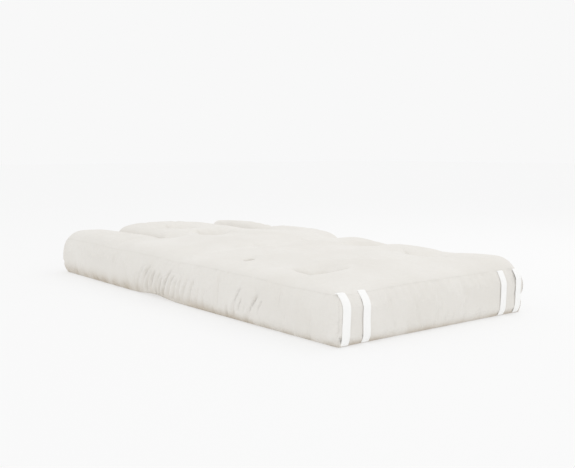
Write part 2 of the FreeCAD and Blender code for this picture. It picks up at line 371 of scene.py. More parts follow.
def wrap(points, cells, cover):
    """Places the lattice's points on the stuffed mattress."""
    u, v, c = (points / np.array(cells)).T
    inset_x, inset_y = border_insets(u, v, c, cover)
    x = MIDDLE_X + (2 * u - 1) * (HALF_LENGTH - inset_x)
    half_y = HALF_WIDTH + cover.belly * (1 - (2 * u - 1) ** 2)
    y = (2 * v - 1) * (half_y - inset_y)
    x, y = round_corner(x, y, HALF_LENGTH - inset_x, half_y - inset_y,
                        (cover.head_corner, cover.foot_corner))
    lifted = LIFT_HEIGHT * bell(x - LIFT_X, LIFT_REACH) * (y < 0)
    z = BOTTOM_SEAM_Z + lifted * (1 - c) + c * (TOP_SEAM_Z - BOTTOM_SEAM_Z)
    top = points[:, 2] == cells[2]
    z[top] = top_height(x[top], y[top], cover)
    low = points[:, 2] == 0
    edge = np.minimum(HALF_LENGTH - np.abs(x - MIDDLE_X), half_y - np.abs(y)) - cover.under
    z[low] = (BOTTOM_SEAM_Z + lifted[low]) * (1 - smooth(edge[low] / (0.03 + 6 * lifted[low])))
    return np.stack([x, y, z], axis=1)


def quad_edges(quads):
    """Each edge of a quad mesh once."""
    pairs = np.concatenate([quads[:, [k, (k + 1) % 4]] for k in range(4)])
    return np.unique(np.sort(pairs, axis=1), axis=0)


def relax(values, edges, rounds):
    """Averages a value per point with its neighbours, some rounds over."""
    count = np.bincount(edges.ravel(), minlength=len(values))[:, None]
    for _ in range(rounds):
        total = np.zeros_like(values)
        np.add.at(total, edges[:, 0], values[edges[:, 1]])
        np.add.at(total, edges[:, 1], values[edges[:, 0]])
        values = (values + total / count) / 2
    return values


def shade_smooth(mesh):
    """Shades all of a mesh's faces smooth."""
    mesh.polygons.foreach_set("use_smooth", np.ones(len(mesh.polygons), bool))


def new_object(name, verts, faces):
    """A mesh object at the origin."""
    mesh = bpy.data.meshes.new(name)
    mesh.from_pydata([tuple(v) for v in verts], [], [tuple(int(i) for i in f) for f in faces])
    mesh.validate()
    obj = bpy.data.objects.new(name, mesh)
    bpy.context.scene.collection.objects.link(obj)
    return obj


def coords(mesh):
    """A mesh's points as an array."""
    out = np.zeros(len(mesh.vertices) * 3)
    mesh.vertices.foreach_get("co", out)
    return out.reshape(-1, 3)


CREASE_FADE = 0.25                # share of a crease's length in which each end fades out


def crease_depth(x, y):
    """Depth of the sharp creases over points of the plan. One that starts past the head has one end."""
    depth = np.zeros_like(x)
    for line, deep, width in CREASES:
        line = np.array(line)
        total = np.linalg.norm(np.diff(line, axis=0), axis=1).sum()
        near = np.full(len(x), 1.0)
        along = np.zeros_like(x)
        run = 0.0
        for (ax, ay), (bx, by) in zip(line[:-1], line[1:]):
            length = math.hypot(bx - ax, by - ay)
            t = np.clip(((x - ax) * (bx - ax) + (y - ay) * (by - ay)) / length ** 2, 0, 1)
            off = np.hypot(x - ax - t * (bx - ax), y - ay - t * (by - ay))
            along = np.where(off < near, (run + t * length) / total, along)
            near = np.minimum(near, off)
            run += length
        open_start = 1.0 if line[0][0] < HEAD_X else 0.0
        ends = smooth((along + open_start) / CREASE_FADE) * smooth((1 - along) / CREASE_FADE)
        depth = np.maximum(depth, deep * ends * tent(near, width))
    return depth


SETTLE_FRAMES = 20


def settle_cloth(points, quads, held, cover):
    """Blows the slack cover up from inside as cloth, held at its tufts, and gives each point's move."""
    obj = new_object("cover_cloth", points, quads)
    group = obj.vertex_groups.new(name="held")
    for weight in np.unique(held):
        if weight > 0:
            group.add([int(i) for i in np.flatnonzero(held == weight)], float(weight), "REPLACE")
    cloth = obj.modifiers.new("Cloth", "CLOTH")
    settings = cloth.settings
    settings.quality = 4
    settings.mass = 0.25
    settings.tension_stiffness = 30
    settings.compression_stiffness = 20
    settings.shear_stiffness = 8
    settings.bending_stiffness = 0.05
    settings.air_damping = 4
    settings.vertex_group_mass = "held"
    settings.use_pressure = True
    settings.uniform_pressure_force = 4.0
    settings.shrink_min = -cover.slack
    settings.effector_weights.gravity = 0
    cloth.collision_settings.use_collision = False
    cloth.point_cache.frame_end = SETTLE_FRAMES
    for step in range(1, SETTLE_FRAMES + 1):
        bpy.context.scene.frame_set(step)
    evaluated = obj.evaluated_get(bpy.context.evaluated_depsgraph_get())
    moved = coords(evaluated.to_mesh()) - points
    evaluated.to_mesh_clear()
    bpy.context.scene.frame_set(1)
    mesh = obj.data
    bpy.data.objects.remove(obj)
    bpy.data.meshes.remove(mesh)
    return moved


def halved(points, values, cells):
    """The lattice with each cell cut in four, and each point's value averaged from its neighbours."""
    fine, quads = box_lattice(*(2 * n for n in cells))
    index = -np.ones([n + 1 for n in cells], int)
    index[tuple(points.T)] = np.arange(len(points))
    total = np.zeros((len(fine), values.shape[1]))
    for corner in range(8):
        up = np.array([corner & 1, corner >> 1 & 1, corner >> 2 & 1])
        total += values[index[tuple(((fine + up) // 2).T)]]
    return fine, quads, total / 8


def point_normals(points, quads):
    """Outward normal of each point of a quad mesh."""
    a, b, c, d = (points[quads[:, k]] for k in range(4))
    face = np.cross(c - a, d - b)
    normals = np.zeros_like(points)
    for k in range(4):
        np.add.at(normals, quads[:, k], face)
    return normals / np.maximum(np.linalg.norm(normals, axis=1, keepdims=True), 1e-12)


def ripples(u, v, seed, count, lengths, slant):
    """Soft wavy noise about 0, mostly within 1.5: the same waves each time for a seed."""
    draw = np.random.default_rng(seed)
    total = np.zeros_like(u)
    for _ in range(count):
        wave = draw.uniform(*lengths)
        turn = draw.uniform(-slant, slant)
        shift = draw.uniform(0, 2 * math.pi)
        total += np.sin(2 * math.pi * (u * math.cos(turn) + v * math.sin(turn)) / wave + shift)
    return total / math.sqrt(count)


# Creases that gather in the long borders, where the filling bends: middle, half the spread, count, depth.
FANS = ((-0.065, 0.195, 12, 0.014), (0.20, 0.07, 4, 0.012), (0.52, 0.09, 6, 0.014))
FAN_LEAN, FAN_BOW, FAN_WIDTH = (0.30, 0.65), (2, 6), (0.0055, 0.0075)
FAN_HIGH, FAN_LOW = (0.10, 0.145), (-0.01, 0.03)      # heights between which a crease starts and ends


def fold_fans(x, z, seed):
    """Depth of the creases that gather in a long border where the mattress bends."""
    depth = np.zeros_like(x)
    draw = np.random.default_rng(seed)
    for centre, spread, count, deep in FANS:
        for place in np.linspace(-1, 1, count):
            foot = centre + spread * (place + draw.uniform(-0.35, 0.35) / count)
            lean = draw.uniform(*FAN_LEAN)
            bow = foot + lean * (z - 0.07) + draw.uniform(*FAN_BOW) * (z - 0.06) ** 2
            high = draw.uniform(*FAN_HIGH)
            low = draw.uniform(*FAN_LOW)
            length = smooth((high - z) / 0.035) * smooth((z - low) / 0.025)
            strength = deep * draw.uniform(0.45, 1.0) * (1 - 0.35 * place ** 2)
            narrow = draw.uniform(*FAN_WIDTH)
            off = np.abs(x - bow)
            raised_lip = 0.35 * bell(off - 2.2 * narrow, 1.2 * narrow)
            depth += strength * length * (tent(off, narrow) - raised_lip)
    return depth


def around(points, place):
    """Distance in plan from a place."""
    return np.hypot(points[:, 0] - place[0], points[:, 1] - place[1])


def capped(move, most):
    """Moves made no longer than the most, each in its own direction."""
    size = np.linalg.norm(move, axis=1, keepdims=True)
    return move * np.minimum(1, most / np.maximum(size, 1e-9))


def stuffed(points, places, quads, cells, cover):
    """The skin after the simulation: its folds and its swelling, each held to a share of the swell."""
    on_top = places[:, 2] == cells[2]
    held = (places[:, 2] == 0).astype(float)
    for tufts in TUFTS.values():
        for tuft in tufts:
            held[(around(points, tuft) < 0.016) & on_top] = 1
    move = settle_cloth(points, quads, held, cover)
    broad = relax(move, quad_edges(quads), 12)
    fine = capped(move - broad, cover.swell)
    from_seam = np.abs(points[:, 2] - TOP_SEAM_Z) + 2 * np.abs(places[:, 2] - cells[2]) * cover.cell
    fine *= (1 - 0.75 * bell(from_seam, 0.03))[:, None]
    fine[on_top] *= 0.7
    return points + fine + capped(broad, 0.4 * cover.swell)


SEAM_ROUNDS, SEAM_REACH = 40, 0.060      # how much, and how far from it, the top seam is smoothed


def eased_seam(points, places, quads, cells, cover):
    """The skin with its cells evened out, and rounded where the top meets the borders."""
    edges = quad_edges(quads)
    low = points[:, 2] < 0.03
    points = np.where(low[:, None], points, relax(points, edges, 1))
    rim = np.abs(places[:, 2] - cells[2]) * cover.cell / 2 + np.abs(points[:, 2] - TOP_SEAM_Z)
    soft = relax(points, edges, SEAM_ROUNDS)
    return points + (soft - points) * bell(rim, SEAM_REACH)[:, None]


# Ripples of the long borders and of the ends: height, waves, their lengths, their slant.
LONG_RIPPLES = (0.0012, 7, (0.03, 0.14), 0.5)
END_RIPPLES = (0.0026, 8, (0.035, 0.14), 0.35)


def wrinkle_borders(points, places, quads, cells):
    """Presses the fans of creases and the ripples into the borders."""
    normals = point_normals(points, quads)
    border = (places[:, 2] > 0) & (places[:, 2] < cells[2])
    high, *waves = LONG_RIPPLES
    for side, seed in ((0, 3), (cells[1], 8)):
        long = border & (places[:, 1] == side)
        x, z = points[long, 0], points[long, 2]
        wave = high * ripples(x, z, seed, *waves)
        points[long] += normals[long] * (wave - fold_fans(x, z, seed + 1))[:, None]
    high, *waves = END_RIPPLES
    for end, seed in ((0, 21), (cells[0], 34)):
        short = border & (places[:, 0] == end)
        y, z = points[short, 1], points[short, 2]
        wave = high * ripples(y, z, seed, *waves)
        points[short] += normals[short] * (wave * smooth(1.6 * z / TOP_SEAM_Z))[:, None]


SEAT_REACH, TIGHT_SEAT_REACH, UNDER_REACH = 0.018, 0.006, 0.030     # from a pad's rim up the cloth


def crease_and_seat(points, places, cells):
    """Presses the sharp creases into the top, and lays the cloth against the tuft pads on both faces."""
    top = places[:, 2] == cells[2]
    inward = smooth((points[top, 2] - TOP_SEAM_Z + 0.012) / 0.03)
    points[top, 2] -= crease_depth(points[top, 0], points[top, 1]) * inward
    for tufts in TUFTS.values():
        for tuft in tufts:
            reach = TIGHT_SEAT_REACH if tied_tight(tuft) else SEAT_REACH
            near = top * (1 - fade(around(points, tuft), PAD_SEAT, reach))
            points[:, 2] += near * (tuft[2] - PAD_HALF - points[:, 2])
    floor = places[:, 2] == 0
    for tufts in UNDER_TUFTS.values():
        for tuft in tufts:
            near = floor * (1 - fade(around(points, tuft), PAD_SEAT, UNDER_REACH))
            points[:, 2] = np.maximum(points[:, 2], near * (tuft[2] + PAD_HALF))


HEAD_ROOM, SIDE_ROOM, FOOT_ROOM, TOP_ROOM = 0.008, 0.010, 0.003, 0.016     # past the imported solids


def keep_in_box(points):
    """Presses the skin back into the space that the mattress takes up, and flat on the floor."""
    low = np.array([HEAD_X - HEAD_ROOM, -HALF_WIDTH - SIDE_ROOM, 0.0])
    high = np.array([FOOT_FACE_X + FOOT_ROOM, HALF_WIDTH + SIDE_ROOM, CROWN_Z + TOP_ROOM])
    return np.clip(points, low, high)


def make_skin(cover):
    """The whole cover as one closed skin: points, outward normals, quads and lattice places."""
    cells = [
        2 * round((FOOT_FACE_X - HEAD_X) / cover.cell / 2),
        2 * round(2 * HALF_WIDTH / cover.cell / 2),
        round((TOP_SEAM_Z - BOTTOM_SEAM_Z) / cover.cell),
    ]
    places, quads = box_lattice(*cells)
    flat = wrap(places, cells, cover)
    points = stuffed(flat, places, quads, cells, cover)
    places, quads, both = halved(places, np.concatenate([points, flat], axis=1), cells)
    cells = [2 * n for n in cells]
    points = eased_seam(both[:, :3], places, quads, cells, cover)
    wrinkle_borders(points, places, quads, cells)
    crease_and_seat(points, places, cells)
    points = keep_in_box(points)
    made["skin"] = {
        "places": places, "quads": quads, "cells": cells, "points": points, "flat": both[:, 3:],
        "normals": point_normals(points, quads),
        "tree": BVHTree.FromPolygons(points.tolist(), quads.tolist()),
    }


# ---- materials ---------------------------------------------------------------------------------
def add_node(tree, kind, sockets=None, **settings):
    """A new node with its settings, and its sockets linked or set."""
    node = tree.nodes.new(kind)
    for name, value in settings.items():
        setattr(node, name, value)
    for name, value in (sockets or {}).items():
        if isinstance(value, bpy.types.NodeSocket):
            tree.links.new(value, node.inputs[name])
        else:
            node.inputs[name].default_value = value
    return node


def new_material(name):
    """A node material with an empty tree but for its shader and output."""
    material = bpy.data.materials.new(name)
    material.use_nodes = True
    tree = material.node_tree
    tree.nodes.clear()
    shader = add_node(tree, "ShaderNodeBsdfPrincipled")
    output = add_node(tree, "ShaderNodeOutputMaterial")
    tree.links.new(shader.outputs["BSDF"], output.inputs["Surface"])
    return material, tree, shader


def math_node(tree, operation, a, b=None):
    """Result of one sum on sockets or numbers."""
    node = add_node(tree, "ShaderNodeMath", {0: a}, operation=operation)
    if b is not None:
        if isinstance(b, bpy.types.NodeSocket):
            tree.links.new(b, node.inputs[1])
        else:
            node.inputs[1].default_value = b
    return node.outputs[0]


def scaled(tree, vector, scale):
    """A coordinate stretched by three factors."""
    node = add_node(tree, "ShaderNodeMapping", {"Vector": vector, "Scale": scale})
    return node.outputs["Vector"]


def mixed(tree, share, low, high):
    """A colour between two, by a share."""
    node = add_node(tree, "ShaderNodeMix", {"Factor": share}, data_type="RGBA")
    for socket, value in ((6, low), (7, high)):
        if isinstance(value, bpy.types.NodeSocket):
            tree.links.new(value, node.inputs[socket])
        else:
            node.inputs[socket].default_value = (*value, 1)
    return node.outputs[2]


def ramped(tree, value, low, high):
    """A value stretched so that low gives 0 and high gives 1."""
    node = add_node(tree, "ShaderNodeMapRange", {"Value": value, "From Min": low, "From Max": high})
    return node.outputs["Result"]


def woven(tree, where, pitch):
    """Height of a plain weave with a thread pitch, over a coordinate in metres."""
    part = add_node(tree, "ShaderNodeSeparateXYZ", {"Vector": where})
    across = math_node(tree, "SINE", math_node(tree, "MULTIPLY", part.outputs["X"], math.pi / pitch))
    along = math_node(tree, "SINE", math_node(tree, "MULTIPLY", part.outputs["Y"], math.pi / pitch))
    crossing = math_node(tree, "MULTIPLY", across, along)
    return math_node(tree, "ABSOLUTE", crossing)


def bumped(tree, height, strength, distance, under=None):
    """A bump laid over another."""
    sockets = {"Height": height, "Strength": strength, "Distance": distance}
    if under is not None:
        sockets["Normal"] = under
    return add_node(tree, "ShaderNodeBump", sockets).outputs["Normal"]


def tinted(colour, *factors):
    """A colour with its channels scaled, by one factor or by one each."""
    return tuple(c * f for c, f in zip(colour, factors * (3 // len(factors))))


def tinged(tree, shade, mask, strength, colour):
    """A shade with a colour over it where a mask is, at a strength."""
    return mixed(tree, math_node(tree, "MULTIPLY", mask, strength), shade, colour)


def roughened(tree, shader, mask, spread, least):
    """Roughness that rises with a mask by a spread, from the least."""
    tree.links.new(math_node(tree, "ADD", math_node(tree, "MULTIPLY", mask, spread), least),
                   shader.inputs["Roughness"])


def dulled(shader, specular, sheen):
    """A cloth's weak shine and its nap."""
    shader.inputs["Specular IOR Level"].default_value = specular
    shader.inputs["Sheen Weight"].default_value = sheen


HUSK = (0.45, 0.34, 0.22)         # specks of cotton husk in the cloth, and darker ones in the felt
HUSK_IN_FELT = (0.42, 0.33, 0.22)
BOTTOM_SHADE_TINT = (0.62, 0.55, 0.46)       # painted shade: darker tint of the cotton next to the floor, where the bottom edge rolls under


def cotton_material(cover):
    """Undyed woven cotton: slubs, husk flecks, soft mottling, worn greyer along the seams, painted shade
    round the tufts, and painted shade along the bottom edge next to the floor.
    """
    material, tree, shader = new_material("undyed_cotton")
    flat = add_node(tree, "ShaderNodeUVMap", uv_map="cloth").outputs["UV"]
    solid = add_node(tree, "ShaderNodeTexCoord").outputs["Object"]
    mottle = add_node(tree, "ShaderNodeTexNoise", {"Vector": solid, "Scale": 5.0, "Detail": 4.0})
    slub_warp, slub_weft = (
        add_node(tree, "ShaderNodeTexNoise",
                 {"Vector": scaled(tree, flat, stretch), "Scale": 1.0, "Detail": 2.0}).outputs["Fac"]
        for stretch in ((24, 620, 1), (620, 24, 1))
    )
    slub = math_node(tree, "ADD", slub_warp, slub_weft)
    fleck = add_node(tree, "ShaderNodeTexVoronoi", {"Vector": flat, "Scale": 55.0})
    speck = ramped(tree, fleck.outputs["Distance"], 0.035, 0.02)
    # wear along the seams with painted shade round the tufts, and painted shade along the bottom edge
    wear_and_tuft_shade, painted_bottom_shade = (add_node(tree, "ShaderNodeAttribute", attribute_name=name).outputs["Fac"]
                  for name in ("seam_wear_and_tuft_shade", "painted_bottom_shade"))
    base = tuple(cover.cotton)
    shade = mixed(tree, ramped(tree, mottle.outputs["Fac"], 0.35, 0.65),
                  tinted(base, 0.975, 0.97, 0.96), tuple(min(c * 1.015, 1) for c in base))
    shade = tinged(tree, shade, ramped(tree, slub, 1.0, 1.35), 0.5, tinted(base, 0.95, 0.93, 0.89))
    shade = tinged(tree, shade, speck, 0.45, HUSK)
    # worn grey along the seams, and painted shade in the hollows round the tufts
    shade = tinged(tree, shade, wear_and_tuft_shade, 0.35, tinted(base, 0.90, 0.885, 0.86))
    # painted shade: darker and browner along the bottom edge, where the cloth rolls under towards the floor
    shade = tinged(tree, shade, painted_bottom_shade, 0.90, tinted(base, *BOTTOM_SHADE_TINT))
    tree.links.new(shade, shader.inputs["Base Color"])
    roughened(tree, shader, ramped(tree, slub, 0.4, 1.6), 0.12, 0.82)
    dulled(shader, 0.25, 0.18)
    shader.inputs["Sheen Roughness"].default_value = 0.5
    crumple = add_node(tree, "ShaderNodeTexNoise",
                       {"Vector": solid, "Scale": 26.0, "Detail": 5.0, "Roughness": 0.55})
    normal = bumped(tree, crumple.outputs["Fac"], 0.35, 0.004)
    normal = bumped(tree, slub, 0.30, 0.0006, normal)
    normal = bumped(tree, woven(tree, flat, 0.0011), 0.30, 0.0004, normal)
    tree.links.new(normal, shader.inputs["Normal"])
    return material


# ---- cover panels --------------------------------------------------------------------------------
# Panels: name, and the axis and end of the lattice that each covers.
PANELS = (
    ("top_panel", 2, 1), ("bottom_panel", 2, 0), ("left_border", 1, 1), ("right_border", 1, 0),
    ("head_border", 0, 0), ("foot_border", 0, 1),
)
STANDS_FOR = {
    "top_panel": ("cover_top_",), "bottom_panel": ("cover_bottom_",),
    "left_border": ("border_left_",), "right_border": ("border_right_",),
}
HALVES = {"head_half": ("back", "seat"), "foot_half": ("seat", "foot")}


def bend(obj):
    """Bakes a piece's transform into its mesh."""
    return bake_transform(obj)


def split_row():
    """Row of the lattice, half way along the seat, where the head half meets the foot half."""
    return round(made["skin"]["cells"][0] * (HALVES_MEET_X - HEAD_X) / (FOOT_FACE_X - HEAD_X))


def rim_of(quads):
    """Directed edges that only one of the quads has: the outline of a patch."""
    pairs = np.concatenate([quads[:, [k, (k + 1) % 4]] for k in range(4)])
    key = np.sort(pairs, axis=1)
    _, where, count = np.unique(key, axis=0, return_inverse=True, return_counts=True)
    return pairs[count[where.ravel()] == 1]


def cloth_panel(name, chosen, thickness):
    """A panel of the cover as a thin closed shell, shaded as part of the whole skin."""
    skin = made["skin"]
    quads = skin["quads"][chosen]
    used, local = np.unique(quads, return_inverse=True)
    local = local.reshape(quads.shape)
    outer, out_normals = skin["points"][used], skin["normals"][used]
    inner = outer - out_normals * thickness
    n = len(used)
    rim = rim_of(local)
    sides = np.stack([rim[:, 1], rim[:, 0], rim[:, 0] + n, rim[:, 1] + n], axis=1)
    faces = np.concatenate([local, local[:, ::-1] + n, sides])
    verts = np.concatenate([outer, inner])
    mesh = bpy.data.meshes.new(name)
    mesh.from_pydata(verts.tolist(), [], faces.tolist())
    shade_smooth(mesh)
    a, b, c = (verts[sides[:, k]] for k in range(3))
    side_normals = np.cross(b - a, c - b)
    side_normals /= np.maximum(np.linalg.norm(side_normals, axis=1, keepdims=True), 1e-12)
    loops = np.concatenate([
        out_normals[local.ravel()], -out_normals[local[:, ::-1].ravel()],
        np.repeat(side_normals, 4, axis=0),
    ])
    mesh.normals_split_custom_set(loops.tolist())
    flat = skin["flat"][used]
    axis = [k for k in range(3) if np.ptp(flat[:, k]) > 0.08][:2]
    plan = flat[:, axis] if name.startswith(("top", "bottom")) else flat[:, [axis[0], 2]]
    plan = np.concatenate([plan, plan])
    layer = mesh.uv_layers.new(name="cloth")
    layer.uv.foreach_set("vector", plan[faces.ravel()].ravel())
    # per point: the worn seams with the painted tuft shade, and the painted shade along the bottom edge
    for mark in ("seam_wear_and_tuft_shade", "painted_bottom_shade"):
        values = np.concatenate([skin[mark][used]] * 2)
        attribute = mesh.attributes.new(mark, "FLOAT", "POINT")
        attribute.data.foreach_set("value", values.astype(np.float32))
    obj = bpy.data.objects.new(name, mesh)
    bpy.context.scene.collection.objects.link(obj)
    return obj


# strength and reach of the wear along the seams, and reach of the painted shade round the tufts
SEAM_WEAR, SEAM_WEAR_REACH, TUFT_SHADE_REACH = 0.06, 0.010, 0.03
BOTTOM_SHADE_HEIGHT, BOTTOM_SHADE_SHRINK = 0.036, 0.021      # height of the band of painted shade along the bottom edge at the head, and what it loses towards the foot


def mark_skin():
    """How worn the skin is near the seams, how much painted shade it has round the tufts, and how much
    painted shade along the bottom edge near the floor, from 0 to 1.
    """
    skin = made["skin"]
    places, cells, points = skin["places"], skin["cells"], skin["points"]
    step = (FOOT_FACE_X - HEAD_X) / cells[0]
    away = [np.minimum(places[:, k], cells[k] - places[:, k]) for k in range(3)]
    from_seam = np.sort(np.stack(away), axis=0)[1] * step
    wear_and_tuft_shade = SEAM_WEAR * bell(from_seam, SEAM_WEAR_REACH)
    # painted shade: darker in the hollows round the tufts, on the top and bottom faces
    faces = (places[:, 2] == cells[2]) | (places[:, 2] == 0)
    for tufts in TUFTS.values():
        for tuft in tufts:
            wear_and_tuft_shade = np.maximum(wear_and_tuft_shade, faces * bell(around(points, tuft), TUFT_SHADE_REACH))
    skin["seam_wear_and_tuft_shade"] = wear_and_tuft_shade
    # painted shade: a patchy dark band along the bottom edge, taller at the head, in place of the shade
    # under the roll and the contact shadow
    band = BOTTOM_SHADE_HEIGHT - BOTTOM_SHADE_SHRINK * smooth((points[:, 0] + 0.4) / 1.3)
    patchy = 0.75 + 0.25 * ripples(points[:, 0], points[:, 1], 17, 6, (0.08, 0.4), 3.0)
    skin["painted_bottom_shade"] = bell(np.maximum(points[:, 2], 0), band) * patchy.clip(0, 1)


class MATTRESS_OT_cover(Operator):
    """Sew the cotton cover: top, bottom and borders, in two halves that meet on the seat."""
    bl_idname = "mattress.cover"
    bl_label = "Cover"

    def execute(self, context):
        cover = context.scene.mattress_cover
        make_skin(cover)
        mark_skin()
        skin = made["skin"]
        middle = skin["places"][skin["quads"]].mean(axis=1)
        cotton = cotton_material(cover)
        row = split_row()
        for name, axis, end in PANELS:
            on_panel = middle[:, axis] == end * skin["cells"][axis]
            for half, bodies in HALVES.items():
                on_half = middle[:, 0] < row if half == "head_half" else middle[:, 0] > row
                chosen = on_panel & on_half
                if not chosen.any():
                    continue
                whole = name in STANDS_FOR
                piece = cloth_panel(name + "_" + half if whole else name, chosen, cover.cloth)
                piece.data.materials.append(cotton)
                if whole:
                    nodes = [stem + body for stem in STANDS_FOR[name] for body in bodies]
                else:
                    nodes = ["border_head" if name == "head_border" else "border_foot"]
                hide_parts(*nodes)
                bend(piece)
        return {"FINISHED"}


# ---- geometry nodes: a row of stitches along any line -------------------------------------------
def stitch_tree():
    """Stitches set at an even pitch along the edges of a mesh, each with a small turn of its own."""
    tree = bpy.data.node_groups.new("stitch_row", "GeometryNodeTree")
    face = tree.interface
    face.new_socket("Line", in_out="INPUT", socket_type="NodeSocketGeometry")
    for name, default in (("Pitch", 0.008), ("Stitch length", 0.005), ("Thread radius", 0.0005),
                          ("Unevenness", 0.12)):
        face.new_socket(name, in_out="INPUT", socket_type="NodeSocketFloat").default_value = default
    face.new_socket("Seed", in_out="INPUT", socket_type="NodeSocketInt").default_value = 5
    face.new_socket("Thread", in_out="INPUT", socket_type="NodeSocketMaterial")
    face.new_socket("Stitches", in_out="OUTPUT", socket_type="NodeSocketGeometry")
    given = add_node(tree, "NodeGroupInput").outputs
    line = add_node(tree, "GeometryNodeMeshToCurve", {"Mesh": given["Line"]})
    even = add_node(tree, "GeometryNodeResampleCurve", {"Curve": line.outputs[0], "Length": given["Pitch"]},
                    mode="LENGTH")
    jitter = add_node(tree, "FunctionNodeRandomValue", data_type="FLOAT_VECTOR")
    jitter.inputs[0].default_value = (-1, -1, -1)
    jitter.inputs[1].default_value = (1, 1, 1)
    tree.links.new(given["Seed"], jitter.inputs["Seed"])
    shake = add_node(tree, "ShaderNodeVectorMath", {0: jitter.outputs[0]}, operation="SCALE")
    tree.links.new(given["Unevenness"], shake.inputs["Scale"])
    way = add_node(tree, "GeometryNodeInputTangent").outputs[0]
    lean = add_node(tree, "ShaderNodeVectorMath", {0: way, 1: shake.outputs[0]}, operation="ADD")
    turn = add_node(tree, "FunctionNodeAlignRotationToVector", {"Vector": lean.outputs[0]}, axis="X")
    ball = add_node(tree, "GeometryNodeMeshUVSphere", {"Segments": 6, "Rings": 4, "Radius": 1.0})
    half = add_node(tree, "ShaderNodeMath", {0: given["Stitch length"], 1: 0.5}, operation="MULTIPLY")
    size = add_node(tree, "ShaderNodeCombineXYZ",
                    {"X": half.outputs[0], "Y": given["Thread radius"], "Z": given["Thread radius"]})
    put = add_node(tree, "GeometryNodeInstanceOnPoints", {
        "Points": even.outputs[0], "Instance": ball.outputs["Mesh"],
        "Rotation": turn.outputs[0], "Scale": size.outputs[0],
    })
    real = add_node(tree, "GeometryNodeRealizeInstances", {"Geometry": put.outputs[0]})
    done = add_node(tree, "GeometryNodeSetMaterial",
                    {"Geometry": real.outputs[0], "Material": given["Thread"]})
    out = add_node(tree, "NodeGroupOutput")
    tree.links.new(done.outputs[0], out.inputs[0])
    return tree


def sewn(name, line_points, line_edges, thread, **sizes):
    """A plain mesh of stitches along a line, made by the stitch tree."""
    line = bpy.data.meshes.new(name)
    line.from_pydata([tuple(p) for p in line_points], [tuple(int(i) for i in e) for e in line_edges], [])
    obj = bpy.data.objects.new(name, line)
    bpy.context.scene.collection.objects.link(obj)
    row = obj.modifiers.new("stitch_row", "NODES")
    tree = bpy.data.node_groups.get("stitch_row") or stitch_tree()
    row.node_group = tree
    sizes["Thread"] = thread
    for item in tree.interface.items_tree:
        if item.in_out == "INPUT" and item.name in sizes:
            row[item.identifier] = sizes[item.name]
    depsgraph = bpy.context.evaluated_depsgraph_get()
    mesh = bpy.data.meshes.new_from_object(obj.evaluated_get(depsgraph), depsgraph=depsgraph)
    obj.modifiers.clear()
    obj.data = mesh
    bpy.data.meshes.remove(line)
    mesh.name = name
    shade_smooth(mesh)
    return obj


def thread_material(name, colour, pitch):
    """Twisted thread: diagonal ply lines in colour and relief."""
    material, tree, shader = new_material(name)
    solid = add_node(tree, "ShaderNodeTexCoord").outputs["Object"]
    ply = add_node(tree, "ShaderNodeTexWave", {"Vector": solid, "Scale": 0.3 / pitch, "Distortion": 1.5},
                   bands_direction="DIAGONAL")
    tone = mixed(tree, ply.outputs["Fac"], tinted(colour, 0.86), colour)
    tree.links.new(tone, shader.inputs["Base Color"])
    shader.inputs["Roughness"].default_value = 0.8
    shader.inputs["Sheen Weight"].default_value = 0.15
    tree.links.new(bumped(tree, ply.outputs["Fac"], 0.5, pitch * 0.3), shader.inputs["Normal"])
    return material


# ---- seams ----------------------------------------------------------------------------------------
class SeamSettings(PropertyGroup):
    """Sizes and colour of the cover's seams."""
    pitch: FloatProperty(name="Pitch", description="Distance from one stitch to the next",
                         default=0.0075, unit="LENGTH")
    stitch: FloatProperty(name="Stitch", description="Length of a stitch", default=0.0052, unit="LENGTH")
    thread: FloatProperty(name="Thread", description="Radius of the thread", default=0.00045, unit="LENGTH")
    seed: IntProperty(name="Seed", description="Changes the small turns of the stitches", default=5)
    colour: FloatVectorProperty(name="Thread colour", description="Colour of the sewing thread",
                                default=(0.80, 0.78, 0.73), subtype="COLOR", min=0, max=1)


class MATTRESS_OT_seams(Operator):
    """Sew the panels together with a row of stitches along every seam."""
    bl_idname = "mattress.seams"
    bl_label = "Seams"

    def execute(self, context):
        seams = context.scene.mattress_seams
        thread = thread_material("sewing_thread", tuple(seams.colour), 0.0006)
        skin = made["skin"]
        places, cells = skin["places"], np.array(skin["cells"])
        ends = (places == 0) | (places == cells)
        edges = quad_edges(skin["quads"])
        both = ends[edges[:, 0]] & ends[edges[:, 1]] & (places[edges[:, 0]] == places[edges[:, 1]])
        edges = edges[both.sum(axis=1) >= 2]
        middle = places[edges].mean(axis=1)[:, 0]
        row = split_row()
        for half in HALVES:
            chosen = edges[middle < row] if half == "head_half" else edges[middle > row]
            used, local = np.unique(chosen, return_inverse=True)
            line = skin["points"][used] + skin["normals"][used] * seams.thread * 0.6
            line[:, 2] = np.maximum(line[:, 2], 2 * seams.thread)
            piece = sewn("seam_stitches_" + half, line, local.reshape(chosen.shape), thread, **{
                "Pitch": seams.pitch, "Stitch length": seams.stitch, "Thread radius": seams.thread,
                "Seed": seams.seed,
            })
            bend(piece)
        return {"FINISHED"}


# ---- strap loops ------------------------------------------------------------------------------------
class StrapSettings(PropertyGroup):
    """Sizes and colour of the strap loops on the foot end."""
    width: FloatProperty(name="Width", description="Width of the webbing", default=0.032, unit="LENGTH")
    thick: FloatProperty(name="Thickness", description="Thickness of the webbing",
                         default=0.0015, unit="LENGTH")
    bow: FloatProperty(name="Bow", description="How far a loop stands off the foot end",
                       default=0.0015, unit="LENGTH")
    webbing: FloatVectorProperty(name="Webbing", description="Colour of the bleached webbing",
                                 default=(0.985, 0.985, 0.975), subtype="COLOR", min=0, max=1)


RIB_PITCH, TWILL_PITCH = 0.0014, 0.0019


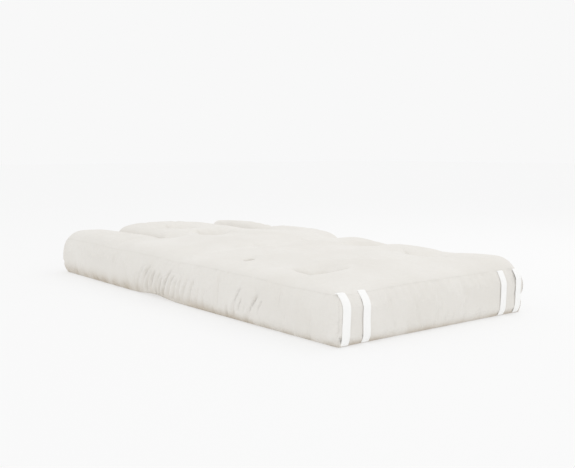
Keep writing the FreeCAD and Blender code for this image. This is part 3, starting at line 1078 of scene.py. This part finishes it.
def webbing_material(straps):
    """Bleached cotton webbing: fine ribs across, a twill between the selvedges, slight soiling there."""
    material, tree, shader = new_material("bleached_webbing")
    flat = add_node(tree, "ShaderNodeUVMap", uv_map="cloth").outputs["UV"]
    part = add_node(tree, "ShaderNodeSeparateXYZ", {"Vector": flat})
    rib = math_node(tree, "MULTIPLY", part.outputs["Y"], 2 * math.pi / RIB_PITCH)
    ribs = math_node(tree, "SINE", rib)
    slant = math_node(tree, "ADD", part.outputs["X"], part.outputs["Y"])
    twill = math_node(tree, "SINE", math_node(tree, "MULTIPLY", slant, 2 * math.pi / TWILL_PITCH))
    weave = math_node(tree, "ADD", math_node(tree, "MULTIPLY", ribs, 0.5), twill)
    edge = math_node(tree, "ABSOLUTE", part.outputs["X"])
    selvedge = ramped(tree, edge, straps.width * 0.40, straps.width * 0.5)
    fibres = add_node(tree, "ShaderNodeTexNoise",
                      {"Vector": scaled(tree, flat, (900, 120, 1)), "Scale": 1.0}).outputs["Fac"]
    base = tuple(straps.webbing)
    shade = mixed(tree, ramped(tree, weave, -1.4, 1.4), tinted(base, 0.965), base)
    shade = tinged(tree, shade, fibres, 0.12, tinted(base, 0.93))
    shade = tinged(tree, shade, selvedge, 0.22, tinted(base, 0.95, 0.94, 0.91))
    tree.links.new(shade, shader.inputs["Base Color"])
    roughened(tree, shader, fibres, 0.2, 0.6)
    dulled(shader, 0.3, 0.2)
    tree.links.new(bumped(tree, weave, 0.5, 0.00012), shader.inputs["Normal"])
    return material


def smooth_line(points, count):
    """A smooth line through points (Catmull-Rom), evenly stepped, with its points as rows."""
    points = np.array(points, float)
    padded = np.concatenate([[2 * points[0] - points[1]], points, [2 * points[-1] - points[-2]]])
    rows = []
    for k in range(len(points) - 1):
        a, b, c, d = padded[k:k + 4]
        for t in np.linspace(0, 1, 24, endpoint=False):
            rows.append(0.5 * (2 * b + (c - a) * t + (2 * a - 5 * b + 4 * c - d) * t ** 2
                               + (3 * b - a - 3 * c + d) * t ** 3))
    rows = np.array(rows + [points[-1]])
    run = np.concatenate([[0], np.cumsum(np.linalg.norm(np.diff(rows, axis=0), axis=1))])
    steps = np.linspace(0, run[-1], count)
    return np.stack([np.interp(steps, run, rows[:, k]) for k in range(rows.shape[1])], axis=1)


STRAP_CLEAR = 0.0012              # from the cloth to the middle of the webbing
SEWN_IN = 0.014                   # how far a loop's ends go into the seams


def strap_line(straps, middle_y, stand_off):
    """Side view (x, z) of a loop: out of the top seam, down the foot end and into the bottom seam."""
    tree = made["skin"]["tree"]
    heights = np.linspace(TOP_SEAM_Z - 0.004, 0.010, 12)
    line = []
    for k, z in enumerate(heights):
        reach = []
        for y in np.linspace(-0.55, 0.55, 5) * straps.width + middle_y:
            hit = tree.ray_cast(Vector((FOOT_FACE_X + 0.2, y, z)), Vector((-1, 0, 0)))
            reach.append(hit[0].x)
        share = k / (len(heights) - 1)
        bow = straps.bow * stand_off * math.sin(math.pi * share)
        line.append((max(reach) + STRAP_CLEAR + bow, z))
    (top_x, top_z), (low_x, low_z) = line[0], line[-1]
    into_top = [(top_x - SEWN_IN, top_z + 0.005), (top_x - 0.004, top_z + 0.004)]
    into_bottom = [(low_x - 0.004, low_z - 0.005), (low_x - SEWN_IN, low_z - 0.006)]
    return smooth_line([*into_top, *line, *into_bottom], 80)


# Places across the webbing, from one selvedge to the other, and the selvedges' middle.
ACROSS = np.array([-1, -0.985, -0.94, -0.86, -0.6, -0.2, 0.2, 0.6, 0.86, 0.94, 0.985, 1])
SELVEDGE = 0.86


def strap_piece(name, middle_y, straps, seed, webbing):
    """One loop of webbing: a thin band with thicker selvedges, a little cupped and uneven."""
    draw = np.random.default_rng(seed)
    line = strap_line(straps, middle_y, draw.uniform(0.85, 1.1))
    way = np.gradient(line, axis=0)
    way /= np.linalg.norm(way, axis=1, keepdims=True)
    out = np.stack([-way[:, 1], way[:, 0]], axis=1)
    half = straps.thick / 2 * (1 + 0.25 * np.exp(-((np.abs(ACROSS) - SELVEDGE) / 0.1) ** 2))
    half *= np.sqrt(1 - 0.9 * np.abs(ACROSS) ** 40)
    ring = [*zip(ACROSS, half), *zip(ACROSS[::-1], -half[::-1])]
    share = np.linspace(0, 1, len(line))
    sway = 0.0016 * np.sin(2 * math.pi * (share * draw.uniform(0.7, 1.3) + draw.uniform()))
    narrow = 1 - 0.05 * bell(share, 0.12) - 0.04 * bell(1 - share, 0.12)
    twist = draw.uniform(-0.05, 0.05) * np.sin(math.pi * share)
    verts, flat = [], []
    run = np.concatenate([[0], np.cumsum(np.linalg.norm(np.diff(line, axis=0), axis=1))])
    for k, (x, z) in enumerate(line):
        for u, h in ring:
            wide = u * straps.width / 2 * narrow[k]
            lift = h + 0.0006 * (u ** 2 - 0.4) + twist[k] * wide
            verts.append((x - out[k, 0] * lift, middle_y + sway[k] + wide, z - out[k, 1] * lift))
            flat.append((wide, run[k]))
    n = len(ring)
    faces = []
    for k in range(len(line) - 1):
        for j in range(n):
            a, b = k * n + j, k * n + (j + 1) % n
            faces.append((a, b, b + n, a + n))
    faces.append(tuple(range(n - 1, -1, -1)))
    last = (len(line) - 1) * n
    faces.append(tuple(range(last, last + n)))
    obj = new_object(name, verts, faces)
    outward(obj)
    layer = obj.data.uv_layers.new(name="cloth")
    loops = np.zeros(len(obj.data.loops), int)
    obj.data.loops.foreach_get("vertex_index", loops)
    layer.uv.foreach_set("vector", np.array(flat)[loops].ravel())
    obj.data.materials.append(webbing)
    shade_smooth(obj.data)
    return obj, line + np.stack([-out[:, 0], -out[:, 1]], axis=1) * straps.thick * 0.55


def outward(obj):
    """Turns all of a closed mesh's faces outwards."""
    work = bmesh.new()
    work.from_mesh(obj.data)
    bmesh.ops.recalc_face_normals(work, faces=work.faces)
    work.to_mesh(obj.data)
    work.free()


# Rows of a loop at which it is tacked down, and how far out the tacks reach as a share of the width.
TACK_ROWS, TACK_REACH = (6, 8, -11, -9), 0.42


class MATTRESS_OT_straps(Operator):
    """Sew the four webbing loops to the foot end, with bar tacks at both ends of each."""
    bl_idname = "mattress.straps"
    bl_label = "Strap loops"

    def execute(self, context):
        straps = context.scene.mattress_straps
        seams = context.scene.mattress_seams
        webbing = webbing_material(straps)
        tack_points, tack_edges = [], []
        nodes = sorted(name for name in frame["nodes"] if name.startswith("strap_loop_"))
        for k, node in enumerate(nodes):
            low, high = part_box(node)
            middle_y = (low[1] + high[1]) / 2
            piece, face = strap_piece("webbing_" + node, middle_y, straps, 40 + k, webbing)
            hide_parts(node)
            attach(piece, "foot")
            for at in TACK_ROWS:
                x, z = face[at]
                for u in (-1, 1):
                    tack_points.append((x, middle_y + u * TACK_REACH * straps.width, z))
                tack_edges.append((len(tack_points) - 2, len(tack_points) - 1))
        thread = thread_material("tacking_thread", (0.93, 0.93, 0.92), 0.0006)
        tacks = sewn("strap_tacks", tack_points, tack_edges, thread, **{
            "Pitch": 0.0021, "Stitch length": 0.0024, "Thread radius": 0.00045,
            "Unevenness": 0.5, "Seed": seams.seed + 1,
        })
        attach(tacks, "foot")
        return {"FINISHED"}


# ---- tufts ------------------------------------------------------------------------------------------
class TuftSettings(PropertyGroup):
    """Sizes and colours of the tufts."""
    pad: FloatProperty(name="Pad", description="Radius of a tuft pad", default=0.0115, unit="LENGTH")
    twine: FloatProperty(name="Twine", description="Radius of the tufting twine",
                         default=0.0013, unit="LENGTH")
    felt: FloatVectorProperty(name="Pad colour", description="Colour of the felted cotton pads",
                              default=(0.80, 0.78, 0.73), subtype="COLOR", min=0, max=1)
    cord: FloatVectorProperty(name="Twine colour", description="Colour of the tufting twine",
                              default=(0.78, 0.75, 0.68), subtype="COLOR", min=0, max=1)


def felt_material(name, colour, grain):
    """Matted cotton fibres: fine streaks each way, soft lumps and darker trapped specks."""
    material, tree, shader = new_material(name)
    solid = add_node(tree, "ShaderNodeTexCoord").outputs["Object"]
    lumps = add_node(tree, "ShaderNodeTexNoise", {"Vector": solid, "Scale": 60.0 / grain, "Detail": 5.0})
    strands = add_node(tree, "ShaderNodeTexNoise",
                       {"Vector": scaled(tree, solid, (300, 900, 500)), "Scale": 1.0 / grain, "Detail": 3.0,
                        "Distortion": 1.2})
    fibre = math_node(tree, "ADD", lumps.outputs["Fac"], strands.outputs["Fac"])
    shade = mixed(tree, ramped(tree, fibre, 0.7, 1.3), tinted(colour, 0.88), colour)
    seed = add_node(tree, "ShaderNodeTexVoronoi", {"Vector": solid, "Scale": 90.0})
    speck = ramped(tree, seed.outputs["Distance"], 0.06, 0.03)
    shade = tinged(tree, shade, speck, 0.4, HUSK_IN_FELT)
    tree.links.new(shade, shader.inputs["Base Color"])
    roughened(tree, shader, lumps.outputs["Fac"], 0.1, 0.85)
    dulled(shader, 0.15, 0.3)
    tree.links.new(bumped(tree, fibre, 0.6, 0.0008 * grain), shader.inputs["Normal"])
    return material


def tube(line, radius, sides, twist, closed):
    """A two-ply twisted strand along a line: points and faces."""
    line = np.array(line, float)
    n = len(line)
    way = np.roll(line, -1, axis=0) - np.roll(line, 1, axis=0) if closed else np.gradient(line, axis=0)
    way /= np.maximum(np.linalg.norm(way, axis=1, keepdims=True), 1e-12)
    side = np.cross(way, (0.31, 0.17, 0.93))
    weak = np.linalg.norm(side, axis=1) < 0.2
    side[weak] = np.cross(way[weak], (1.0, 0.2, 0.1))
    side /= np.linalg.norm(side, axis=1, keepdims=True)
    up = np.cross(way, side)
    verts = []
    for k in range(n):
        for j in range(sides):
            angle = 2 * math.pi * j / sides
            r = radius * (0.86 + 0.14 * math.cos(2 * (angle + twist * k)))
            verts.append(line[k] + r * (math.cos(angle) * side[k] + math.sin(angle) * up[k]))
    faces = []
    for k in range(n if closed else n - 1):
        for j in range(sides):
            a, b = k * sides + j, k * sides + (j + 1) % sides
            c, d = ((k + 1) % n) * sides + (j + 1) % sides, ((k + 1) % n) * sides + j
            faces.append((a, b, c, d))
    if not closed:
        faces.append(tuple(range(sides - 1, -1, -1)))
        faces.append(tuple(range((n - 1) * sides, n * sides)))
    return verts, faces


# Outline of a felted pad from its middle to its underside: shares of its radius and of half its thickness.
PAD_OUTLINE = (
    (0.0, 0.35), (0.18, 0.5), (0.42, 0.95), (0.70, 1.0), (0.90, 0.75), (1.0, 0.2), (0.99, -0.3),
    (0.88, -0.8), (0.55, -1.0),
)


def pad_shape(centre, radius, half, up, draw):
    """A felted pad: a thick disc with an uneven rim, drawn in at its middle."""
    sides = 28
    turn = np.arange(sides) * 2 * math.pi / sides
    rim = 1 + 0.05 * np.sin(3 * turn + draw.uniform(0, 6)) + 0.03 * np.sin(7 * turn + draw.uniform(0, 6))
    verts = [(centre[0], centre[1], centre[2] + up * half * PAD_OUTLINE[0][1])]
    for r, h in PAD_OUTLINE[1:]:
        for k, angle in enumerate(turn):
            reach = radius * r * (1 + (rim[k] - 1) * r)
            dip = 1 - 0.25 * (math.cos(2 * angle) ** 8) * (r < 0.8) * (h > 0)
            verts.append((centre[0] + reach * math.cos(angle), centre[1] + reach * math.sin(angle),
                          centre[2] + up * half * h * dip))
    verts.append((centre[0], centre[1], centre[2] - up * half))
    faces = [(0, 1 + k, 1 + (k + 1) % sides) for k in range(sides)]
    for row in range(len(PAD_OUTLINE) - 2):
        a = 1 + row * sides
        for k in range(sides):
            j = (k + 1) % sides
            faces.append((a + k, a + sides + k, a + sides + j, a + j))
    last = 1 + (len(PAD_OUTLINE) - 2) * sides
    faces += [(len(verts) - 1, last + (k + 1) % sides, last + k) for k in range(sides)]
    return verts, faces


KNOT_SIZE, KNOT_POINTS = 0.0036, 60


def knot_line(centre, size, up, turn):
    """A trefoil of twine pulled tight on a pad."""
    line = []
    for k in range(KNOT_POINTS):
        t = 2 * math.pi * k / KNOT_POINTS
        x = math.sin(t) + 2 * math.sin(2 * t)
        y = math.cos(t) - 2 * math.cos(2 * t)
        z = -math.sin(3 * t)
        c, s = math.cos(turn), math.sin(turn)
        line.append((centre[0] + size * (c * x - s * y) / 3, centre[1] + size * (s * x + c * y) / 3,
                     centre[2] + up * size * 0.38 * z))
    return line


def joined(name, parts):
    """One object of several (points, faces) shapes."""
    verts, faces = [], []
    for more_verts, more_faces in parts:
        start = len(verts)
        verts += [tuple(v) for v in more_verts]
        faces += [tuple(i + start for i in face) for face in more_faces]
    obj = new_object(name, verts, faces)
    outward(obj)
    shade_smooth(obj.data)
    return obj


class MATTRESS_OT_tufts(Operator):
    """Tie the tufts: felted pads above and below, and a knotted twine through the filling."""
    bl_idname = "mattress.tufts"
    bl_label = "Tufts"

    def execute(self, context):
        tufts = context.scene.mattress_tufts
        felt = felt_material("tuft_felt", tuple(tufts.felt), 0.5)
        cord = thread_material("tufting_twine", tuple(tufts.cord), 0.0014)
        for body in SECTIONS:
            bottoms = UNDER_TUFTS[body]
            for end, places, up in (("top", TUFTS[body], 1), ("bottom", bottoms, -1)):
                draw = np.random.default_rng(70 + SECTIONS.index(body))
                shapes = [pad_shape(c, tufts.pad, PAD_HALF, up, draw) for c in places]
                pads = joined("felt_pads_" + end + "_" + body, shapes)
                pads.data.materials.append(felt)
                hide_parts("tuft_pads_" + end + "_" + body)
                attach(pads, body)
            shapes = []
            for k, top in enumerate(TUFTS[body]):
                bottom = min(bottoms, key=lambda c: np.hypot(*(c - top)[:2]))
                heights = np.linspace(bottom[2] - PAD_HALF, top[2] + PAD_HALF, 90)
                shaft = [(top[0] + 0.0004 * math.sin(60 * z), top[1], z) for z in heights]
                shapes.append(tube(shaft, tufts.twine, 8, 0.5, False))
                for place, up in ((top, 1), (bottom, -1)):
                    seat = (place[0], place[1], place[2] + up * (PAD_HALF * 0.6 + tufts.twine))
                    knot = knot_line(seat, KNOT_SIZE, up, 0.9 * k)
                    shapes.append(tube(knot, tufts.twine * 0.75, 6, 0.7, True))
            twines = joined("knotted_twines_" + body, shapes)
            twines.data.materials.append(cord)
            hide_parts("tuft_twines_" + body)
            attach(twines, body)
        return {"FINISHED"}


# ---- filling ------------------------------------------------------------------------------------------
class FillingSettings(PropertyGroup):
    """Layers inside the cover."""
    clear: FloatProperty(name="Clearance", description="Gap between the cover and the filling",
                         default=0.006, unit="LENGTH")
    cell: FloatProperty(name="Cell", description="Spacing of the layers' meshes",
                        default=0.02, unit="LENGTH")
    felt: FloatVectorProperty(name="Felt colour", description="Colour of the carded cotton",
                              default=(0.74, 0.70, 0.62), subtype="COLOR", min=0, max=1)
    foam: FloatVectorProperty(name="Foam colour", description="Colour of the foam core",
                              default=(0.86, 0.80, 0.62), subtype="COLOR", min=0, max=1)


def foam_material(colour):
    """Open-celled foam: fine pores in relief and in tone."""
    material, tree, shader = new_material("foam")
    solid = add_node(tree, "ShaderNodeTexCoord").outputs["Object"]
    pores = add_node(tree, "ShaderNodeTexVoronoi", {"Vector": solid, "Scale": 620.0})
    cloud = add_node(tree, "ShaderNodeTexNoise", {"Vector": solid, "Scale": 9.0})
    hole = ramped(tree, pores.outputs["Distance"], 0.45, 0.1)
    shade = mixed(tree, ramped(tree, cloud.outputs["Fac"], 0.3, 0.7), tinted(colour, 0.95), colour)
    shade = tinged(tree, shade, hole, 0.5, tinted(colour, 0.7))
    tree.links.new(shade, shader.inputs["Base Color"])
    roughened(tree, shader, hole, 0.1, 0.8)
    shader.inputs["Specular IOR Level"].default_value = 0.2
    tree.links.new(bumped(tree, pores.outputs["Distance"], 0.7, 0.0006), shader.inputs["Normal"])
    return material


def tucked(points, clear):
    """Moves points that are outside the cover, or too near it, to a clearance inside it."""
    tree = made["skin"]["tree"]
    out = points.copy()
    for _ in range(2):
        for k, point in enumerate(out):
            spot, normal, _, _ = tree.find_nearest(Vector(point))
            if (Vector(point) - spot).dot(normal) > -clear:
                out[k] = spot - normal * clear
    return out


PLY_GROOVE = 0.0022
FILLING_CORNER = 0.02             # radius of the filling's corners at the foot end


def layer_block(name, half, low, high, plies, gap, filling, cover):
    """One half of a filling layer between two heights, its sides grooved where its plies meet."""
    at_head = half == "head_half"
    first, last = (HEAD_X + gap, HALVES_MEET_X) if at_head else (HALVES_MEET_X, FOOT_FACE_X - gap)
    half_y = HALF_WIDTH - gap
    nx = round((last - first) / filling.cell)
    ny = round(2 * half_y / filling.cell)
    nz = 2 * plies
    places, quads = box_lattice(nx, ny, nz)
    share = places / np.array([nx, ny, nz])
    x = first + share[:, 0] * (last - first)
    y = (2 * share[:, 1] - 1) * half_y
    x, y = round_corner(x, y, HALF_LENGTH - gap, half_y, (cover.head_corner, FILLING_CORNER))
    groove = PLY_GROOVE * (places[:, 2] % 2 == 0)
    wave = 0.0012 * ripples(x + y, 3 * share[:, 2], 90 + plies, 6, (0.05, 0.2), 1.2)
    side = (places[:, 1] == 0) | (places[:, 1] == ny)
    y = np.where(side, y - np.sign(y) * (groove + np.abs(wave)), y)
    if at_head:
        x = np.where(places[:, 0] == 0, x + groove + np.abs(wave), x)
    else:
        x = np.where(places[:, 0] == nx, x - groove - np.abs(wave), x)
    bottom, top = low(x, y), high(x, y)
    z = bottom + share[:, 2] * (top - bottom)
    inside = tucked(np.stack([x, y, z], axis=1), filling.clear)
    inside[places[:, 0] == (nx if at_head else 0), 0] = HALVES_MEET_X
    obj = new_object(name, inside, quads)
    shade_smooth(obj.data)
    return obj


class MATTRESS_OT_filling(Operator):
    """Lay the filling in the cover: carded cotton below, a foam core, carded cotton above."""
    bl_idname = "mattress.filling"
    bl_label = "Filling"

    def execute(self, context):
        filling = context.scene.mattress_filling
        cover = context.scene.mattress_cover
        felt = felt_material("carded_cotton", tuple(filling.felt), 1.6)
        foam = foam_material(tuple(filling.foam))
        foam_low, foam_high = (float(c[2]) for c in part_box("foam_core_seat"))
        floor_gap = float(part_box("fibre_pad_lower_seat")[0][2]) + 0.001
        skin = made["skin"]
        top_quads = skin["quads"][skin["places"][skin["quads"]][:, :, 2].min(axis=1) == skin["cells"][2]]
        top = BVHTree.FromPolygons(skin["points"].tolist(), top_quads.tolist())

        def ceiling(x, y):
            """Underside of the cover's top, or of its rim where the borders bulge past the seam."""
            out = np.full(len(x), TOP_SEAM_Z)
            for k in range(len(x)):
                hit = top.ray_cast(Vector((x[k], y[k], 1.0)), Vector((0, 0, -1)))
                if hit[0] is not None:
                    out[k] = hit[0].z
            return out - filling.clear

        def flat_at(height, under_top):
            """A level, pressed down where the tufts and the shoulders leave less room."""
            return lambda x, y: np.minimum(height, ceiling(x, y) - under_top)

        # Each layer: piece, nodes, underside, top, plies, gap at the sides, material, slot.
        layers = (
            ("lower_fibre_pad", "fibre_pad_lower_", flat_at(floor_gap, 0),
             flat_at(foam_low - 0.001, 0.04), 4, filling.clear + 0.002, felt, "cotton_felt"),
            ("inner_foam_core", "foam_core_", flat_at(foam_low, 0.039),
             flat_at(foam_high - 0.001, 0.010), 2, filling.clear + 0.012, foam, "foam"),
            ("upper_fibre_pad", "fibre_pad_upper_", flat_at(foam_high, 0.009),
             ceiling, 6, filling.clear + 0.002, felt, "cotton_felt"),
        )
        for name, stem, low, high, plies, gap, material, slot in layers:
            for half, bodies in HALVES.items():
                piece = layer_block(name + "_" + half, half, low, high, plies, gap, filling, cover)
                piece.data.materials.append(material)
                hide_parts(*[stem + body for body in bodies])
                bend(piece)
        return {"FINISHED"}


# ---- camera, floor and light -----------------------------------------------------------------------
class StageSettings(PropertyGroup):
    """Camera, floor and light."""
    eye: FloatVectorProperty(name="Eye", description="Place of the camera",
                             default=(2.774, -2.049, 0.592), subtype="XYZ", unit="LENGTH")
    heading: FloatProperty(name="Heading", description="Camera's turn from +X towards +Y",
                           default=math.radians(141.61), unit="ROTATION")
    pitch: FloatProperty(name="Pitch", description="Camera's tilt above the horizon",
                         default=math.radians(-5.89), unit="ROTATION")
    lens: FloatProperty(name="Lens", description="Focal length in millimetres", default=51.1)
    paper: FloatVectorProperty(name="Backdrop", description="Colour of the floor and backdrop",
                               default=(0.939, 0.939, 0.939), subtype="COLOR", min=0, max=1)


FLOOR_GLOW = 0.565


def floor_material(paper):
    """Pale studio floor that glows a little, so that only contact shadows show."""
    material, tree, shader = new_material("studio_floor")
    grain = add_node(tree, "ShaderNodeTexNoise", {"Scale": 2.0})
    tone = mixed(tree, grain.outputs["Fac"], (0.405, 0.405, 0.405), (0.415, 0.415, 0.415))
    tree.links.new(tone, shader.inputs["Base Color"])
    shader.inputs["Roughness"].default_value = 1.0
    shader.inputs["Specular IOR Level"].default_value = 0.0
    shader.inputs["Emission Color"].default_value = (*paper, 1)
    shader.inputs["Emission Strength"].default_value = FLOOR_GLOW
    return material


def sky(paper):
    """Even pale surroundings, brighter overhead like a large softbox."""
    world = bpy.data.worlds.new("studio")
    world.use_nodes = True
    tree = world.node_tree
    tree.nodes.clear()
    way = add_node(tree, "ShaderNodeTexCoord").outputs["Generated"]
    height = add_node(tree, "ShaderNodeSeparateXYZ", {"Vector": way}).outputs["Z"]
    up = ramped(tree, height, 0.35, 0.9)
    tone = mixed(tree, up, tuple(paper), (1.0, 1.0, 1.0))
    light = add_node(tree, "ShaderNodeBackground", {"Color": tone, "Strength": 1.0})
    output = add_node(tree, "ShaderNodeOutputWorld")
    tree.links.new(light.outputs["Background"], output.inputs["Surface"])
    return world


# Lamps: name, width and height, watts, place.
LAMPS = (
    ("overhead", (3.0, 2.0), 13, (0.6, 2.2, 3.2)),
    ("fill", (3.0, 1.6), 9, (4.6, -3.4, 2.0)),
)
LIT_SPOT = (0, 0, 0.15)
FLOOR_REACH = 30.0


class MATTRESS_OT_stage(Operator):
    """Set up the floor, the light and the camera."""
    bl_idname = "mattress.stage"
    bl_label = "Stage"

    def execute(self, context):
        stage = context.scene.mattress_stage
        corners = [(x * FLOOR_REACH, y * FLOOR_REACH, 0) for x, y in ((-1, -1), (1, -1), (1, 1), (-1, 1))]
        floor = new_object("studio_floor", corners, [(0, 1, 2, 3)])
        floor.data.materials.append(floor_material(tuple(stage.paper)))
        context.scene.world = sky(stage.paper)
        for name, size, energy, place in LAMPS:
            light = bpy.data.lights.new(name, "AREA")
            light.shape = "RECTANGLE"
            light.size, light.size_y = size
            light.energy = energy
            lamp = bpy.data.objects.new(name, light)
            lamp.location = place
            aim = Vector(LIT_SPOT) - lamp.location
            lamp.rotation_euler = aim.to_track_quat("-Z", "Y").to_euler()
            context.scene.collection.objects.link(lamp)
        camera = bpy.data.cameras.new("camera")
        camera.lens = stage.lens
        camera.clip_end = 200
        eye = bpy.data.objects.new("camera", camera)
        eye.location = stage.eye
        level = math.cos(stage.pitch)
        ahead = Vector((level * math.cos(stage.heading), level * math.sin(stage.heading),
                        math.sin(stage.pitch)))
        eye.rotation_euler = ahead.to_track_quat("-Z", "Y").to_euler()
        context.scene.collection.objects.link(eye)
        context.scene.camera = eye
        context.scene.view_settings.view_transform = "Standard"
        return {"FINISHED"}


class MATTRESS_PT_panel(Panel):
    """The steps of the mattress, in order."""
    bl_idname = "MATTRESS_PT_panel"
    bl_label = "Mattress"
    bl_space_type = "VIEW_3D"
    bl_region_type = "UI"
    bl_category = "Mattress"

    def draw(self, context):
        for step in STEPS:
            self.layout.operator(step.bl_idname)


GROUPS = {
    "mattress_cover": CoverSettings, "mattress_seams": SeamSettings, "mattress_straps": StrapSettings,
    "mattress_tufts": TuftSettings, "mattress_filling": FillingSettings, "mattress_stage": StageSettings,
}
STEPS = (
    MATTRESS_OT_cover, MATTRESS_OT_seams, MATTRESS_OT_straps, MATTRESS_OT_tufts, MATTRESS_OT_filling,
    MATTRESS_OT_stage,
)


def register():
    for kind in (*GROUPS.values(), *STEPS, MATTRESS_PT_panel):
        bpy.utils.register_class(kind)
    for name, group in GROUPS.items():
        setattr(bpy.types.Scene, name, PointerProperty(type=group))


def unregister():
    for name in GROUPS:
        delattr(bpy.types.Scene, name)
    for kind in (MATTRESS_PT_panel, *reversed(STEPS), *GROUPS.values()):
        bpy.utils.unregister_class(kind)


def main():
    register()
    for step in STEPS:
        group, name = step.bl_idname.split(".")
        getattr(getattr(bpy.ops, group), name)()


if __name__ == "__main__":
    main()
